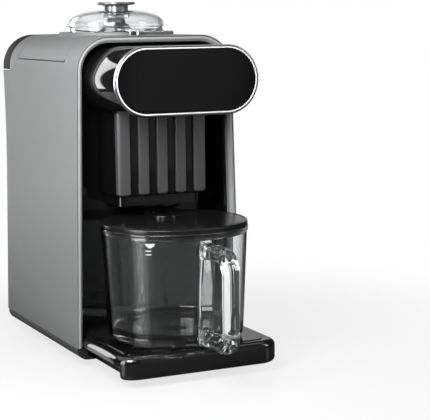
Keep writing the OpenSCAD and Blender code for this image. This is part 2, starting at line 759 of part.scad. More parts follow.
blade_t = 1.6;
hub_r = shaft_r + 4;
module blade() color("#d0d2d5") on_axis() difference() {
  union() {
    translate([0, 0, blade_z - 3]) cylinder(r = hub_r, h = 6);
    for (i = [0:blade_count - 1]) rotate(360 / blade_count * i)
      translate([0, 0, blade_z - blade_t / 2]) rotate([i % 2 == 0 ? 8 : -8, i % 2 == 0 ? -14 : 8, 0])
        linear_extrude(blade_t)
          polygon([[shaft_r + 1, -6], [blade_len - 7, -5], [blade_len, 1], [shaft_r + 1, 6]]);
  }
  translate([0, 0, blade_z - 20]) cylinder(r = shaft_r, h = 40);
}

module blade_nut() color("#b5b8bc") on_axis() difference() {
  translate([0, 0, blade_z + 3.1]) cylinder(r = shaft_r + 3, h = 5.5, $fn = 6);
  translate([0, 0, blade_z + 3]) cylinder(r = shaft_r, h = 5);
}

// Water path and electrics

heater_x = 66;
heater_y = 92;
heater_r = 14;
heater_h = 130;
port_r = 3.5;
port_off = 6;
port_h = 6;
port_wall = 1.2;
hose_wall = 1.5;
fin_count = 12;
fin_t = 3;
pump_x = heater_x;
pump_y = 160;
pump_r = 15;
pump_h = 64;
pump_foot_h = 10;
pump_head_h = 14;
valve_x = pump_x;
valve_r = 6;
valve_z = tank_low + tank_wall + valve_r + 2;
steam_z = chamber_bottom + 26;
top_hose_z = floor_top + heater_h + 24;

module heater() color("#c2c4c7") translate([heater_x, heater_y, floor_top + 0.1]) {
  translate([-11, -11, 0]) cube([22, 22, 2]);
  translate([0, 0, 2 - eps]) cylinder(r = heater_r - 3, h = heater_h - 2);
  for (i = [0:fin_count - 1]) translate([0, 0, 6 + i * (heater_h - 14) / (fin_count - 1)])
    cylinder(r = heater_r, h = fin_t);
  for (s = [-1, 1]) translate([0, s * port_off, heater_h - eps]) tube(port_r, port_r - port_wall, 0, port_h);
}

module water_pump() color("#3b3e43") translate([pump_x, pump_y, floor_top + 0.1]) {
  cylinder(r = pump_r, h = pump_foot_h);
  translate([0, 0, pump_foot_h - eps]) cylinder(r = pump_r - 2, h = pump_h - pump_foot_h - pump_head_h);
  translate([0, 0, pump_h - pump_head_h - eps]) cylinder(r = pump_r, h = pump_head_h);
  translate([0, 0, pump_h - eps]) tube(port_r, port_r - port_wall, 0, port_h);
  translate([0, 0, valve_z - floor_top - 0.1]) y_cylinder(port_r, pump_r - 3, pump_r + 6);
}

// Short hose from the bulkhead's socket to the pump
module tank_hose() color("#d8d4c8") translate([pump_x, 0, valve_z]) difference() {
  union() {
    y_cylinder(port_r + hose_wall, pump_y + pump_r + 0.3, bulkhead_y - gap);
    y_cylinder(valve_r + 2, bulkhead_y - gap - 2, bulkhead_y - gap);
  }
  y_cylinder(port_r + running_gap, pump_y, pump_y + pump_r + 6.1);
  y_cylinder(port_r - 1, pump_y, bulkhead_y + 5);
}

// Hose that runs through a list of corners, with round elbows
module hose(points, bore) difference() {
  hose_solid(points, bore + hose_wall);
  hose_solid(points, bore);
  // Open ends, wide enough for the ports they slip over
  last = len(points) - 1;
  for (e = [[points[0], points[1]], [points[last], points[last - 1]]]) {
    along = (e[1] - e[0]) / norm(e[1] - e[0]);
    hose_run(e[0] - along * 2, e[0] + along * port_h, port_r + running_gap);
  }
}

module hose_solid(points, r) {
  for (i = [0:len(points) - 2]) hose_run(points[i], points[i + 1], r);
  for (i = [1:len(points) - 2]) translate(points[i]) sphere(r);
}

module hose_run(a, b, r) {
  d = b - a;
  translate(a) rotate([0, acos(d[2] / norm(d)), atan2(d[1], d[0])]) cylinder(r = r, h = norm(d));
}

module heater_hose() color("#d8d4c8") hose([[pump_x, pump_y, floor_top + 0.3 + pump_h],
  [pump_x, pump_y, top_hose_z], [pump_x, heater_y + port_off, top_hose_z],
  [heater_x, heater_y + port_off, floor_top + 0.3 + heater_h]], port_r - 1);

module steam_hose() color("#d8d4c8") hose([[heater_x, heater_y - port_off, floor_top + 0.3 + heater_h],
  [heater_x, heater_y - port_off, steam_z], [heater_x, chamber_y, steam_z],
  [chamber_r + chamber_t + 0.3, chamber_y, steam_z]], port_r - 1);

board_x = 76;
board_t = 1.6;
board_front = 70;
board_back = 160;
board_h = 120;
capacitor_r = 6;
module power_board() color("#1f5a3a") translate([-board_x, board_front, floor_top + 0.3]) {
  cube([board_t, board_back - board_front, board_h]);
  // Transformer, capacitors and relay on the side that faces the motor
  translate([board_t - eps, 30, 40]) cube([16, 30, 26]);
  for (y = [14, 44, 74]) translate([0, y, board_h - 30])
    x_cylinder(capacitor_r, board_t - eps, board_t + 2 * capacitor_r);
  translate([board_t - eps, 12, 46]) cube([9, 12, 22]);
}

// Tank

fill_half_w = 70;
fill_front = cap_back_y - cap_depth + 3;
fill_back = cap_back_y - 7;
module water_tank() color("#5a6066", 0.55) difference() {
  tank_body(0);
  tank_body(tank_wall);
  translate([-fill_half_w, fill_front, tank_top - 10]) cube([2 * fill_half_w, fill_back - fill_front, 20]);
  translate([valve_x, 0, valve_z]) y_cylinder(valve_r + 0.05, tank_front - 2, tank_front + 10);
}

module tank_body(inset) intersection() {
  along_y(tank_front + inset, cap_back_y) difference() {
    arch(shell_wall + 1.2 + inset, tank_low + inset);
    translate([-far, tank_top - inset]) square([2 * far, far]);
  }
  along_x(-far, far) swept_side(tank_front - 5, tank_low - 1, tank_top, 0.6 + inset);
}

module tank_valve() color("#d0d3d6") translate([valve_x, 0, valve_z]) difference() {
  union() {
    y_cylinder(valve_r, bulkhead_y + 0.3, tank_front + tank_wall + 1);
    y_cylinder(valve_r + 2, tank_front + tank_wall + 0.1, tank_front + tank_wall + 2);
  }
  y_cylinder(valve_r - 2.2, bulkhead_y - 1, tank_front + 10);
}

cap_wall = 2.5;
plug_in = 2;
module tank_lid() color("#141518") {
  y0 = cap_back_y - cap_depth;
  difference() {
    along_y(y0, cap_back_y) arch(0, sweep_end);
    along_y(y0 + cap_wall, cap_back_y - cap_wall) translate([0, -eps]) arch(cap_wall, sweep_end - 1);
  }
  // Plate and plug that close the filling mouth
  difference() {
    union() {
      translate([-fill_half_w - 4, y0 + 1, sweep_end + 0.2])
        cube([2 * fill_half_w + 8, cap_depth - 2, 2.5]);
      translate([0, 0, tank_top - 6]) linear_extrude(sweep_end + 1 - tank_top + 6) fill_outline(plug_in);
    }
    translate([0, 0, tank_top - 8]) linear_extrude(12) fill_outline(2 * plug_in);
  }
}

module tank_seal() color("#303234") translate([0, 0, tank_top - 4.5]) linear_extrude(3) difference() {
  fill_outline(gap);
  fill_outline(plug_in - bite);
}

// Outline of the filling mouth, drawn inwards by inset
module fill_outline(inset) translate([-fill_half_w + inset, fill_front + inset])
  square([2 * (fill_half_w - inset), fill_back - fill_front - 2 * inset]);

// Chamber lid

skirt_low = flange_top - 15 + chamber_t + gap;
dome_top = lid_rim_z + dome_rise;
stud_r = 5;
lug_front = 20;
lug_half_w = 17.5;
lug_t = 2.8;
magnet_w = 5;
// Points of the dome, from its top down to its rim
function dome_curve(r_rim, z_low, z_rise) = [for (i = [0:12]) let (t = 7.5 * i)
  [neck_r + (r_rim - neck_r) * pow(sin(t), dome_power), z_low + z_rise * pow(max(0, cos(t)), dome_power)]];
module chamber_lid() color("#dfe6ea", 0.4) on_axis() difference() {
  union() {
    rotate_extrude() difference() {
      polygon(concat([[0, dome_top]], dome_curve(lid_rim_r, lid_rim_z + 1, dome_rise - 1),
        [[lid_rim_r, lid_rim_z - 2], [lid_skirt_r, lid_rim_z - 3], [lid_skirt_r, skirt_low],
          [0, skirt_low]]));
      polygon(concat([[0, dome_top - lid_t]],
        dome_curve(lid_skirt_r - lid_t, lid_rim_z - 1, dome_rise + 1 - lid_t),
        [[lid_skirt_r - lid_t, skirt_low - 1], [0, skirt_low - 1]]));
    }
    // Lug that reaches over the front of the shell
    lug();
  }
  translate([0, 0, dome_top - 10]) cylinder(r = stud_r + running_gap, h = 20);
  translate([0, 0, skirt_low - 1]) cylinder(r = lid_skirt_r - lid_t, h = lid_rim_z - skirt_low - 3);
  magnet_block(0.05);
}

module lug() {
  y0 = lug_front - chamber_y;
  translate([-lug_half_w, y0, deck_z + 0.6]) cube([2 * lug_half_w, -lid_skirt_r + 6 - y0, lug_t]);
  translate([-lug_half_w, y0, shell_top + 0.6]) cube([2 * lug_half_w, 3, deck_z - shell_top + lug_t]);
}

module magnet_block(clear) translate([-lug_half_w - 1, lug_front - chamber_y - 1, shell_top + 0.5])
  cube([magnet_w + 1 + clear, 6 + clear, deck_z - shell_top + 0.15 + clear]);

module interlock_magnet() color("#17181a") on_axis() intersection() {
  magnet_block(0);
  translate([-lug_half_w, lug_front - chamber_y, shell_top + 0.6]) cube([far, far, far]);
}

knob_top_t = 2.4;
module lid_knob() color("#5b5e63") on_axis() {
  rotate_extrude() difference() {
    z1 = dome_top + knob_h;
    z0 = z1 - knob_top_t;
    polygon([[0, dome_top + 0.05], [neck_r, dome_top + 0.05], [neck_r - 1, z0 - 1], [knob_r - 0.8, z0],
      [knob_r, z0 + 0.8], [knob_r, z1 - 0.8], [knob_r - 0.8, z1], [knob_r - 4, z1], [0, z1 - 1]]);
  }
  translate([0, 0, dome_top - 16]) cylinder(r = stud_r, h = 16.1);
}

nut_r = 18;
nut_rim_h = 5;
nut_h = 14;
module knob_nut() color("#9fa3a8") on_axis() difference() {
  union() {
    translate([0, 0, dome_top - lid_t - nut_h]) cylinder(r = nut_r, h = nut_rim_h);
    translate([0, 0, dome_top - lid_t - nut_h + nut_rim_h - eps])
      cylinder(r1 = nut_r - 3, r2 = nut_r / 2, h = nut_h - nut_rim_h - 0.1);
  }
  translate([0, 0, dome_top - 40]) cylinder(r = stud_r + running_gap, h = 50);
}

module lid_gasket() color("#ece9e2") on_axis()
  tube(mouth_r - 0.08, lid_skirt_r + 0.02, skirt_low + 1.5, skirt_low + 6);

// Drip drawer

slab_low = drawer_low + 0.4;
slab_back = -0.4;
slab_bevel = 2;

// Body of the drawer: bevelled edges, round front corners, sides that turn in below
module rounded_slab() difference() {
  w = drawer_half_w;
  r = drawer_corner_r;
  y_corner = -drawer_front + r;
  union() {
    for (s = [-1, 1]) translate([s * (w - r), y_corner, 0]) rotate_extrude() intersection() {
      slab_section(r);
      square([r, drawer_top]);
    }
    // The straight runs stand a hair inside the corners, and so cross them cleanly
    along_y(y_corner, slab_back) slab_section(w - bite);
    along_x(-w + r, w - r) translate([y_corner, 0]) slab_section(r - bite);
  }
  along_y(y_corner - r / 2, 1) difference() {
    translate([-far, 0]) square([2 * far, undercut_z + 1]);
    polygon([[undercut_z - w, 0], [w - undercut_z, 0], [w + 1, undercut_z + 1], [-w - 1, undercut_z + 1]]);
  }
}

// Section of the drawer, w wide to each side of its middle
module slab_section(w) polygon([[-w + slab_bevel, slab_low], [w - slab_bevel, slab_low],
  [w, slab_low + slab_bevel], [w, drawer_top - drawer_bevel], [w - drawer_bevel, drawer_top],
  [-w + drawer_bevel, drawer_top], [-w, drawer_top - drawer_bevel], [-w, slab_low + slab_bevel]]);

cover_half_w = drawer_half_w - drawer_margin;
cover_front_y = -drawer_front + drawer_margin;
cover_r = 12;
basin_in = 3;
module drip_tray() color("#101113") difference() {
  union() {
    rounded_slab();
    translate([-tongue_half_w, -1, drawer_low + tongue_plate_t + gap])
      cube([2 * tongue_half_w, tongue_end + 1, drawer_top - drawer_low - tongue_plate_t - gap]);
  }
  // Basin
  translate([0, 0, drawer_low + tongue_plate_t + gap + basin_wall]) linear_extrude(40)
    round_rect([-cover_half_w + basin_in, cover_front_y + basin_in],
      [cover_half_w - basin_in, tongue_end - basin_in], cover_r);
  // Seat of the cover
  translate([0, 0, cover_top - grille_t - 0.1]) linear_extrude(40)
    round_rect([-cover_half_w - 0.2, cover_front_y - 0.2], [cover_half_w + 0.2, tongue_end - 0.8], cover_r);
  // Channel that the base's plate slides in
  translate([-tongue_half_w + 19.5, -drawer_front + 19.5, drawer_low - 1])
    cube([2 * (tongue_half_w - 19.5), drawer_front + 60, 1 + tongue_plate_t + gap]);
}

slot_pitch = 11;
module drip_cover() color("#0c0d0e") difference() {
  translate([0, 0, cover_top - grille_t]) linear_extrude(grille_t)
    round_rect([-cover_half_w, cover_front_y], [cover_half_w, tongue_end - 1], cover_r);
  // Drain slots under the jug, each as long as a ring around the jug's foot allows
  for (i = [-4:4]) {
    x = i * slot_pitch;
    half = sqrt(pow(jug_base_r - 16, 2) - x * x) * 0.86;
    translate([x - slot_w / 2, -jug_out - half, cover_top - grille_t - 1])
      cube([slot_w, 2 * half, grille_t + 2]);
  }
}

// Jug

function jug_r(z) = jug_base_r + (jug_rim_r - jug_base_r) * (z - jug_edge_r) / (jug_h - jug_edge_r);

// Outline of the jug's outside grown by g, measured from its own foot
module jug_outline(g) polygon(concat([[0, -g]],
  [for (i = [0:10]) let (a = 9 * i) [jug_base_r - jug_edge_r + (jug_edge_r + g) * sin(a),
    jug_edge_r - (jug_edge_r + g) * cos(a)]],
  [[jug_rim_r + g, jug_h], [0, jug_h]]));

module jug_glass() color("#dde6e8", 0.35) translate([0, -jug_out, jug_z]) rotate_extrude() difference() {
  jug_outline(0);
  // Inside
  floor_z = jug_bottom + 2;
  polygon(concat([[0, floor_z], [jug_boss_r - 1, floor_z], [jug_boss_r, jug_bottom - 0.8]],
    [for (i = [0:8]) let (a = 90 * i / 8)
      [jug_base_r - jug_wall - 9 + 9 * sin(a), jug_bottom + 8 - 8 * cos(a)]],
    [[jug_rim_r - jug_wall, jug_h + 1], [0, jug_h + 1]]));
  // Hollow under the foot
  polygon([[0, -1], [jug_base_r - 22, -1], [jug_base_r - 24, 1.5], [0, 1.5]]);
}

handle_low = 5;
handle_top = 8;
arm_t = 15;
spine_t = 4;
module jug_handle() color("#dde6e8", 0.35) translate([0, -jug_out, jug_z]) {
  y0 = handle_front_y + jug_out;
  z0 = handle_low;
  z1 = jug_h - handle_top;
  difference() {
    along_x(-handle_w / 2, handle_w / 2) difference() {
      round_rect([y0, z0], [-jug_base_r + 8, z1], 20);
      round_rect([y0 + grip_t, z0 + arm_t], [-jug_r(jug_h / 2) - spine_t, z1 - arm_t], 9);
    }
    rotate_extrude() jug_outline(0.02);
  }
}

module jug_lid() color("#17181a") translate([0, -jug_out, jug_rim_z]) difference() {
  union() {
    translate([0, 0, gap]) cylinder(r = jug_rim_r - 0.6, h = jug_lid_t - 1);
    translate([0, 0, gap + jug_lid_t - 1 - eps]) cylinder(r1 = jug_rim_r - 0.6, r2 = jug_rim_r - 2, h = 1);
    translate([0, 0, -plug_h]) cylinder(r = jug_rim_r - jug_wall - 1.7, h = plug_h + 1);
    // Long collar around the inlet
    for (y = [jug_out + outlet_y - collar_back, collar_front]) translate([0, y, jug_lid_t])
      cylinder(r = collar_r, h = collar_h);
    translate([-collar_r + bite, collar_front, jug_lid_t])
      cube([2 * (collar_r - bite), jug_out + outlet_y - collar_back - collar_front, collar_h]);
  }
  translate([0, 0, -plug_h - 1]) cylinder(r = jug_rim_r - jug_wall - 4, h = plug_h + 1 + gap);
  translate([0, jug_out + outlet_y, -plug_h - 1]) cylinder(r = inlet_r, h = plug_h + 20);
}

inlet_r = 8;
collar_r = 15;
collar_h = 2.8;
collar_front = 22;
collar_back = 7;
module jug_lid_gasket() color("#e9e6de") translate([0, -jug_out, jug_rim_z])
  tube(jug_rim_r - jug_wall - 0.5, jug_rim_r - jug_wall - 1.68, -plug_h + 1, -plug_h + 4);

placed() base_chassis();
placed() feet();
placed() base_screws();
placed() power_inlet();
placed() outer_shell();
placed() front_frame();
placed() front_fascia();
placed() rear_bulkhead();
placed() rear_panel();
placed() top_cover();
placed() head_housing();
placed() head_bezel();
placed() touch_panel();
placed() control_board();
placed() rib_column();
placed() outlet_housing();
placed() outlet_nozzle();
placed() drain_valve();
placed() drain_hose();
placed() grinding_chamber();
placed() chamber_base();
placed() shaft_seal();
placed() bearings();
placed() motor_frame();
placed() motor_case();
placed() motor_screws();
placed() stator();
placed() rotor();
placed() drive_shaft();
placed() cooling_fan();
placed() blade();
placed() blade_nut();
placed() heater();
placed() water_pump();
placed() tank_hose();
placed() heater_hose();
placed() steam_hose();
placed() power_board();
placed() water_tank();
placed() tank_valve();
placed() tank_seal();
placed() tank_lid();
placed() chamber_lid();
placed() lid_knob();
placed() knob_nut();
placed() lid_gasket();
placed() interlock_magnet();
placed() drip_tray();
placed() drip_cover();
placed() jug_glass();
placed() jug_handle();
placed() jug_lid();
placed() jug_lid_gasket();
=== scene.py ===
import json
import math

import bmesh
import bpy
import numpy as np
from mathutils import Matrix, Vector


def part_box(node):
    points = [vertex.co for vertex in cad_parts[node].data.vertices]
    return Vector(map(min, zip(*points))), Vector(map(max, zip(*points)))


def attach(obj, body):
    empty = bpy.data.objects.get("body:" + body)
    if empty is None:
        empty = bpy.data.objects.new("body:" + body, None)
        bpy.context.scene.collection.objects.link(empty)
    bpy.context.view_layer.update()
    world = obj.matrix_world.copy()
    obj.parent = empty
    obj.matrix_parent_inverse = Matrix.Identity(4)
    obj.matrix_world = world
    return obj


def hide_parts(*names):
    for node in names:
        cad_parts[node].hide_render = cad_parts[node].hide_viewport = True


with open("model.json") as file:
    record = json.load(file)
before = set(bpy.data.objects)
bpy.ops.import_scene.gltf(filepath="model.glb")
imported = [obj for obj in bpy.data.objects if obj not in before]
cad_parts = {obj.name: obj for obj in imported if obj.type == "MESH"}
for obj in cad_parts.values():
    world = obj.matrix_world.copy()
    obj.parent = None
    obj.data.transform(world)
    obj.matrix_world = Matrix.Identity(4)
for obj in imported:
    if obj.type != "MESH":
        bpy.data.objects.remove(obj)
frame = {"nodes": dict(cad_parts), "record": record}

scene = bpy.context.scene
nodes = frame["nodes"]
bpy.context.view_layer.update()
mm = 0.001
scene.view_settings.view_transform = "Standard"


# Camera

photo = {
    "width": 430,  # pixels
    "focal": 1385.5,  # pixels
    "sensor": 36.0,  # millimetres
    "place": (-0.56903, -1.33854, 0.35557),  # metres
    "yaw": 25.933,  # degrees, from +Y towards +X
    "pitch": 7.976,  # degrees below the horizon
    "roll": -0.6656,  # degrees
}


def makeCamera(c):
    yaw, pitch, roll = (math.radians(c[k]) for k in ("yaw", "pitch", "roll"))
    ahead = Vector((math.sin(yaw) * math.cos(pitch), math.cos(yaw) * math.cos(pitch), -math.sin(pitch)))
    right = Vector((math.cos(yaw), -math.sin(yaw), 0))
    up = right.cross(ahead)
    side = math.cos(roll) * right + math.sin(roll) * up
    top = math.cos(roll) * up - math.sin(roll) * right
    data = bpy.data.cameras.new("photoCamera")
    data.sensor_width = c["sensor"]
    data.lens = c["focal"] / c["width"] * c["sensor"]
    data.clip_start = 0.05
    data.clip_end = 60
    camera = bpy.data.objects.new("photoCamera", data)
    scene.collection.objects.link(camera)
    turn = Matrix((side, top, -ahead)).transposed()
    camera.matrix_world = Matrix.Translation(c["place"]) @ turn.to_4x4()
    scene.camera = camera


makeCamera(photo)
print("camera ready")


# Shader helpers

def newMaterial(name):
    material = bpy.data.materials.new(name)
    material.use_nodes = True
    tree = material.node_tree
    tree.nodes.clear()
    out = tree.nodes.new("ShaderNodeOutputMaterial")
    shader = tree.nodes.new("ShaderNodeBsdfPrincipled")
    tree.links.new(shader.outputs[0], out.inputs[0])
    return material, tree, shader


def setInputs(node, values):
    for key, value in values.items():
        node.inputs[key].default_value = value


def addNode(tree, kind, values=None, **settings):
    node = tree.nodes.new(kind)
    for key, value in settings.items():
        setattr(node, key, value)
    setInputs(node, values or {})
    return node


# A maths node fed by sockets or plain numbers, in order; the result is its output
def mathNode(tree, operation, *given, kind="ShaderNodeMath", **settings):
    node = addNode(tree, kind, operation=operation, **settings)
    for socket, value in zip(node.inputs, given):
        if isinstance(value, bpy.types.NodeSocket):
            tree.links.new(value, socket)
        else:
            socket.default_value = value
    return node.outputs[0]


def newGroup(name, inputs, outputs):
    group = bpy.data.node_groups.new(name, "ShaderNodeTree")
    for title, kind, value in inputs:
        socket = group.interface.new_socket(title, in_out="INPUT", socket_type=kind)
        if value is not None:
            socket.default_value = value
    for title, kind in outputs:
        group.interface.new_socket(title, in_out="OUTPUT", socket_type=kind)
    return group, group.nodes.new("NodeGroupInput"), group.nodes.new("NodeGroupOutput")


# Fine grain: noise at one scale for bump and roughness, and slow clouds for colour
def makeGrain():
    group, given, made = newGroup("fineGrain", [
        ("Vector", "NodeSocketVector", None), ("Scale", "NodeSocketFloat", 900.0),
        ("Stretch", "NodeSocketVector", (1, 1, 1)), ("Rough", "NodeSocketFloat", 0.3),
        ("Rough Change", "NodeSocketFloat", 0.05), ("Colour", "NodeSocketColor", (0.5, 0.5, 0.5, 1)),
        ("Colour Change", "NodeSocketFloat", 0.08)],
        [("Height", "NodeSocketFloat"), ("Rough", "NodeSocketFloat"), ("Colour", "NodeSocketColor")])
    link = group.links.new
    spread = mathNode(group, "MULTIPLY", given.outputs["Vector"], given.outputs["Stretch"],
                      kind="ShaderNodeVectorMath")
    fine = addNode(group, "ShaderNodeTexNoise", {"Detail": 3.0, "Roughness": 0.6})
    link(spread, fine.inputs["Vector"])
    link(given.outputs["Scale"], fine.inputs["Scale"])
    cloud = addNode(group, "ShaderNodeTexNoise", {"Scale": 14.0, "Detail": 4.0})
    link(given.outputs["Vector"], cloud.inputs["Vector"])
    both = mathNode(group, "ADD", fine.outputs["Fac"], cloud.outputs["Fac"])
    swing = mathNode(group, "SUBTRACT", both, 1.0)
    rough = mathNode(group, "MULTIPLY_ADD", swing, given.outputs["Rough Change"], given.outputs["Rough"],
                     use_clamp=True)
    level = mathNode(group, "MULTIPLY_ADD", swing, given.outputs["Colour Change"], 1.0)
    tint = addNode(group, "ShaderNodeVectorMath", operation="SCALE")
    link(given.outputs["Colour"], tint.inputs[0])
    link(level, tint.inputs["Scale"])
    link(fine.outputs["Fac"], made.inputs["Height"])
    link(rough, made.inputs["Rough"])
    link(tint.outputs[0], made.inputs["Colour"])
    return group


grain = makeGrain()


def addBump(tree, shader, height, depth):
    bump = addNode(tree, "ShaderNodeBump", {"Strength": depth, "Distance": 0.001})
    tree.links.new(height, bump.inputs["Height"])
    tree.links.new(bump.outputs[0], shader.inputs["Normal"])


# A finish with grain: colour, metal share, roughness, grain size and depth
def makeFinish(name, colour, rough, metal=0.0, scale=900.0, depth=0.02, change=0.06, tone=0.08,
               stretch=(1, 1, 1), specular=0.5, ior=1.5):
    material, tree, shader = newMaterial(name)
    place = addNode(tree, "ShaderNodeTexCoord")
    worn = addNode(tree, "ShaderNodeGroup", node_tree=grain)
    setInputs(worn, {"Scale": scale, "Stretch": stretch, "Rough": rough, "Rough Change": change,
                     "Colour": (*colour, 1), "Colour Change": tone})
    tree.links.new(place.outputs["Object"], worn.inputs["Vector"])
    tree.links.new(worn.outputs["Colour"], shader.inputs["Base Color"])
    tree.links.new(worn.outputs["Rough"], shader.inputs["Roughness"])
    addBump(tree, shader, worn.outputs["Height"], depth)
    setInputs(shader, {"Metallic": metal, "Specular IOR Level": specular, "IOR": ior})
    return material


# Clear glass or plastic: a tint, and faint waves on its surface
def makeClear(name, tint, rough=0.0, ior=1.5):
    material, tree, shader = newMaterial(name)
    place = addNode(tree, "ShaderNodeTexCoord")
    waves = addNode(tree, "ShaderNodeTexNoise", {"Scale": 60.0, "Detail": 1.0})
    tree.links.new(place.outputs["Object"], waves.inputs["Vector"])
    addBump(tree, shader, waves.outputs["Fac"], 0.02)
    setInputs(shader, {"Base Color": (*tint, 1), "Roughness": rough, "IOR": ior, "Transmission Weight": 1.0})
    return material


finishes = {
    "shell_metal": makeFinish("silverPaint", (0.23, 0.233, 0.236), 0.5, metal=0.2, scale=2600, depth=0.03,
                              stretch=(1, 1, 0.12), tone=0.05, specular=0.1),
    "frame_metal": makeFinish("framePaint", (0.4, 0.404, 0.408), 0.5, metal=0.2, scale=2600, depth=0.03,
                              specular=0.1),
    "dark_plastic": makeFinish("mouldedBlack", (0.018, 0.018, 0.019), 0.42, scale=1800, depth=0.12),
    "gloss_black": makeFinish("glossBlack", (0.006, 0.006, 0.0065), 0.09, scale=500, depth=0.006,
                              change=0.03),
    "panel_glass": makeFinish("blackGlass", (0.004, 0.004, 0.0045), 0.03, scale=60, depth=0.003, change=0.02,
                              specular=0.3),
    "bright_trim": makeFinish("brightTrim", (0.9, 0.9, 0.91), 0.12, metal=1.0, scale=700, depth=0.006),
    "foot_rubber": makeFinish("footRubber", (0.02, 0.02, 0.021), 0.75, scale=1500, depth=0.3),
    "seal_black": makeFinish("sealRubber", (0.02, 0.02, 0.02), 0.7, scale=1500, depth=0.2),
    "silicone": makeFinish("silicone", (0.7, 0.69, 0.66), 0.5, scale=900, depth=0.1),
    "screw_steel": makeFinish("screwSteel", (0.62, 0.62, 0.64), 0.3, metal=1.0, scale=1500, depth=0.05),
    "steel": makeFinish("brushedSteel", (0.62, 0.63, 0.65), 0.24, metal=1.0, scale=1500, depth=0.08,
                        stretch=(1, 1, 0.05)),
    "cast_grey": makeFinish("castGrey", (0.3, 0.31, 0.33), 0.5, metal=0.9, scale=700, depth=0.35),
    "copper": makeFinish("windingCopper", (0.5, 0.2, 0.07), 0.35, metal=0.8, scale=1200, depth=0.4,
                         stretch=(1, 1, 0.1)),
    "core_iron": makeFinish("coreIron", (0.2, 0.19, 0.18), 0.45, metal=0.9, scale=1400, depth=0.4,
                            stretch=(0.05, 0.05, 1)),
    "grey_plastic": makeFinish("greyPlastic", (0.12, 0.125, 0.13), 0.4, scale=1500, depth=0.1),
    "white_plastic": makeFinish("whitePlastic", (0.72, 0.71, 0.68), 0.4, scale=1500, depth=0.1),
    "board_green": makeFinish("boardGreen", (0.02, 0.12, 0.06), 0.35, scale=300, depth=0.2, tone=0.4),
    "knob_grey": makeFinish("knobGrey", (0.2, 0.205, 0.21), 0.28, metal=0.6, scale=1500, depth=0.04),
    "tank_plastic": makeClear("smokedPlastic", (0.16, 0.17, 0.18), rough=0.08, ior=1.49),
    "clear_plastic": makeClear("clearPlastic", (0.93, 0.95, 0.96), ior=1.49),
    "clear_glass": makeClear("clearGlass", (0.97, 0.985, 0.985)),
}
# White for the line on the head ring's inner edge: a painted highlight on the chrome
ringHighlightPaint = makeFinish("paintedRingHighlight", (0.86, 0.86, 0.86), 0.25, scale=700, depth=0.004, change=0.02, tone=0.02)
headGloss = makeFinish("headGloss", (0.006, 0.006, 0.0065), 0.05, scale=500, depth=0.004, change=0.02,
                       ior=1.62)
drawerGloss = makeFinish("drawerGloss", (0.006, 0.006, 0.0065), 0.06, scale=500, depth=0.005, change=0.02,
                         ior=1.6)
lidSatin = makeFinish("lidSatin", (0.008, 0.008, 0.0085), 0.24, scale=1800, depth=0.02, change=0.03)
darkChrome = makeFinish("darkChrome", (0.36, 0.36, 0.365), 0.14, metal=1.0, scale=700, depth=0.006)
capSatin = makeFinish("capSatin", (0.012, 0.012, 0.0125), 0.5, scale=1500, depth=0.02, change=0.03,
                      specular=0.03)
# Ribs: a satin finish, and a lighter grey than the black body that is painted sheen for the light they catch
ribSatinPaintedSheen = makeFinish("ribSatinPaintedSheen", (0.085, 0.085, 0.088), 0.38, metal=0.2, scale=1800, depth=0.05)

slotOf = {row["node"]: row["material_slot"] for row in frame["record"]["subparts"]}
for name, node in nodes.items():
    node.data.materials.clear()
    node.data.materials.append(lidSatin if name == "jug_lid_gasket" else finishes[slotOf[name]])
print("finishes ready", len(finishes))


# Shapes. All sizes are millimetres from the plane of the shell's front edge, +Y to the back.

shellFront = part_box("outer_shell")[0].y


# Each corner becomes an arc: its ends lie radius / tan(half the corner's angle) from the corner
def roundLine(corners, radius, closed=True, steps=6):
    spots = np.array(corners, float)
    size = np.broadcast_to(np.array(radius, float), len(spots))[:, None]
    before, after = np.roll(spots, 1, 0) - spots, np.roll(spots, -1, 0) - spots
    before /= np.linalg.norm(before, axis=1, keepdims=True)
    after /= np.linalg.norm(after, axis=1, keepdims=True)
    half = np.arccos(np.clip((before * after).sum(1, keepdims=True), -1, 1)) / 2
    reach = size / np.tan(half)
    middle = before + after
    centre = spots + middle / np.linalg.norm(middle, axis=1, keepdims=True) * size / np.sin(half)
    first, last = spots + before * reach - centre, spots + after * reach - centre
    turn = (math.pi - 2 * half)[..., None]
    t = np.linspace(0, 1, steps + 1)[None, :, None]
    blend = np.sin((1 - t) * turn) * first[:, None] + np.sin(t * turn) * last[:, None]
    arcs = centre[:, None] + blend / np.sin(turn)
    if closed:
        return arcs.reshape(-1, 2)
    return np.vstack([spots[:1], arcs[1:-1].reshape(-1, 2), spots[-1:]])


def boxLine(x0, x1, y0, y1, radius, steps=6):
    return roundLine([(x0, y0), (x1, y0), (x1, y1), (x0, y1)], radius, steps=steps)


# Quads between neighbouring rows and columns of a grid of points
def gridFaces(rows, columns, wrapRows=False, wrapColumns=False, keep=None):
    index = np.arange(rows * columns).reshape(rows, columns)
    if wrapRows:
        index = np.vstack([index, index[:1]])
    if wrapColumns:
        index = np.hstack([index, index[:, :1]])
    quads = np.stack([index[:-1, :-1], index[:-1, 1:], index[1:, 1:], index[1:, :-1]], -1)
    return (quads[keep] if keep is not None else quads.reshape(-1, 4)).tolist()


# Rings of points joined in order, with a flat end face at each end unless the rows close on themselves
def loft(rings, wrapRows=False):
    rows, count = rings.shape[:2]
    faces = gridFaces(rows, count, wrapRows, True)
    if not wrapRows:
        faces += [list(range(count)), list(range((rows - 1) * count, rows * count))]
    return rings.reshape(-1, 3), faces


# Point = centre + (radius cos a, radius sin a, height); an open profile starts and ends on the axis
def revolve(profile, centre=(0, 0), turns=144, closed=False):
    angle = np.linspace(0, 2 * math.pi, turns, endpoint=False)
    radius, height = np.array(profile, float).T
    x = centre[0] + np.outer(np.cos(angle), radius)
    y = centre[1] + np.outer(np.sin(angle), radius)
    rings = np.stack([x, y, np.broadcast_to(height, x.shape)], -1)
    return rings.reshape(-1, 3), gridFaces(turns, len(radius), True, closed)


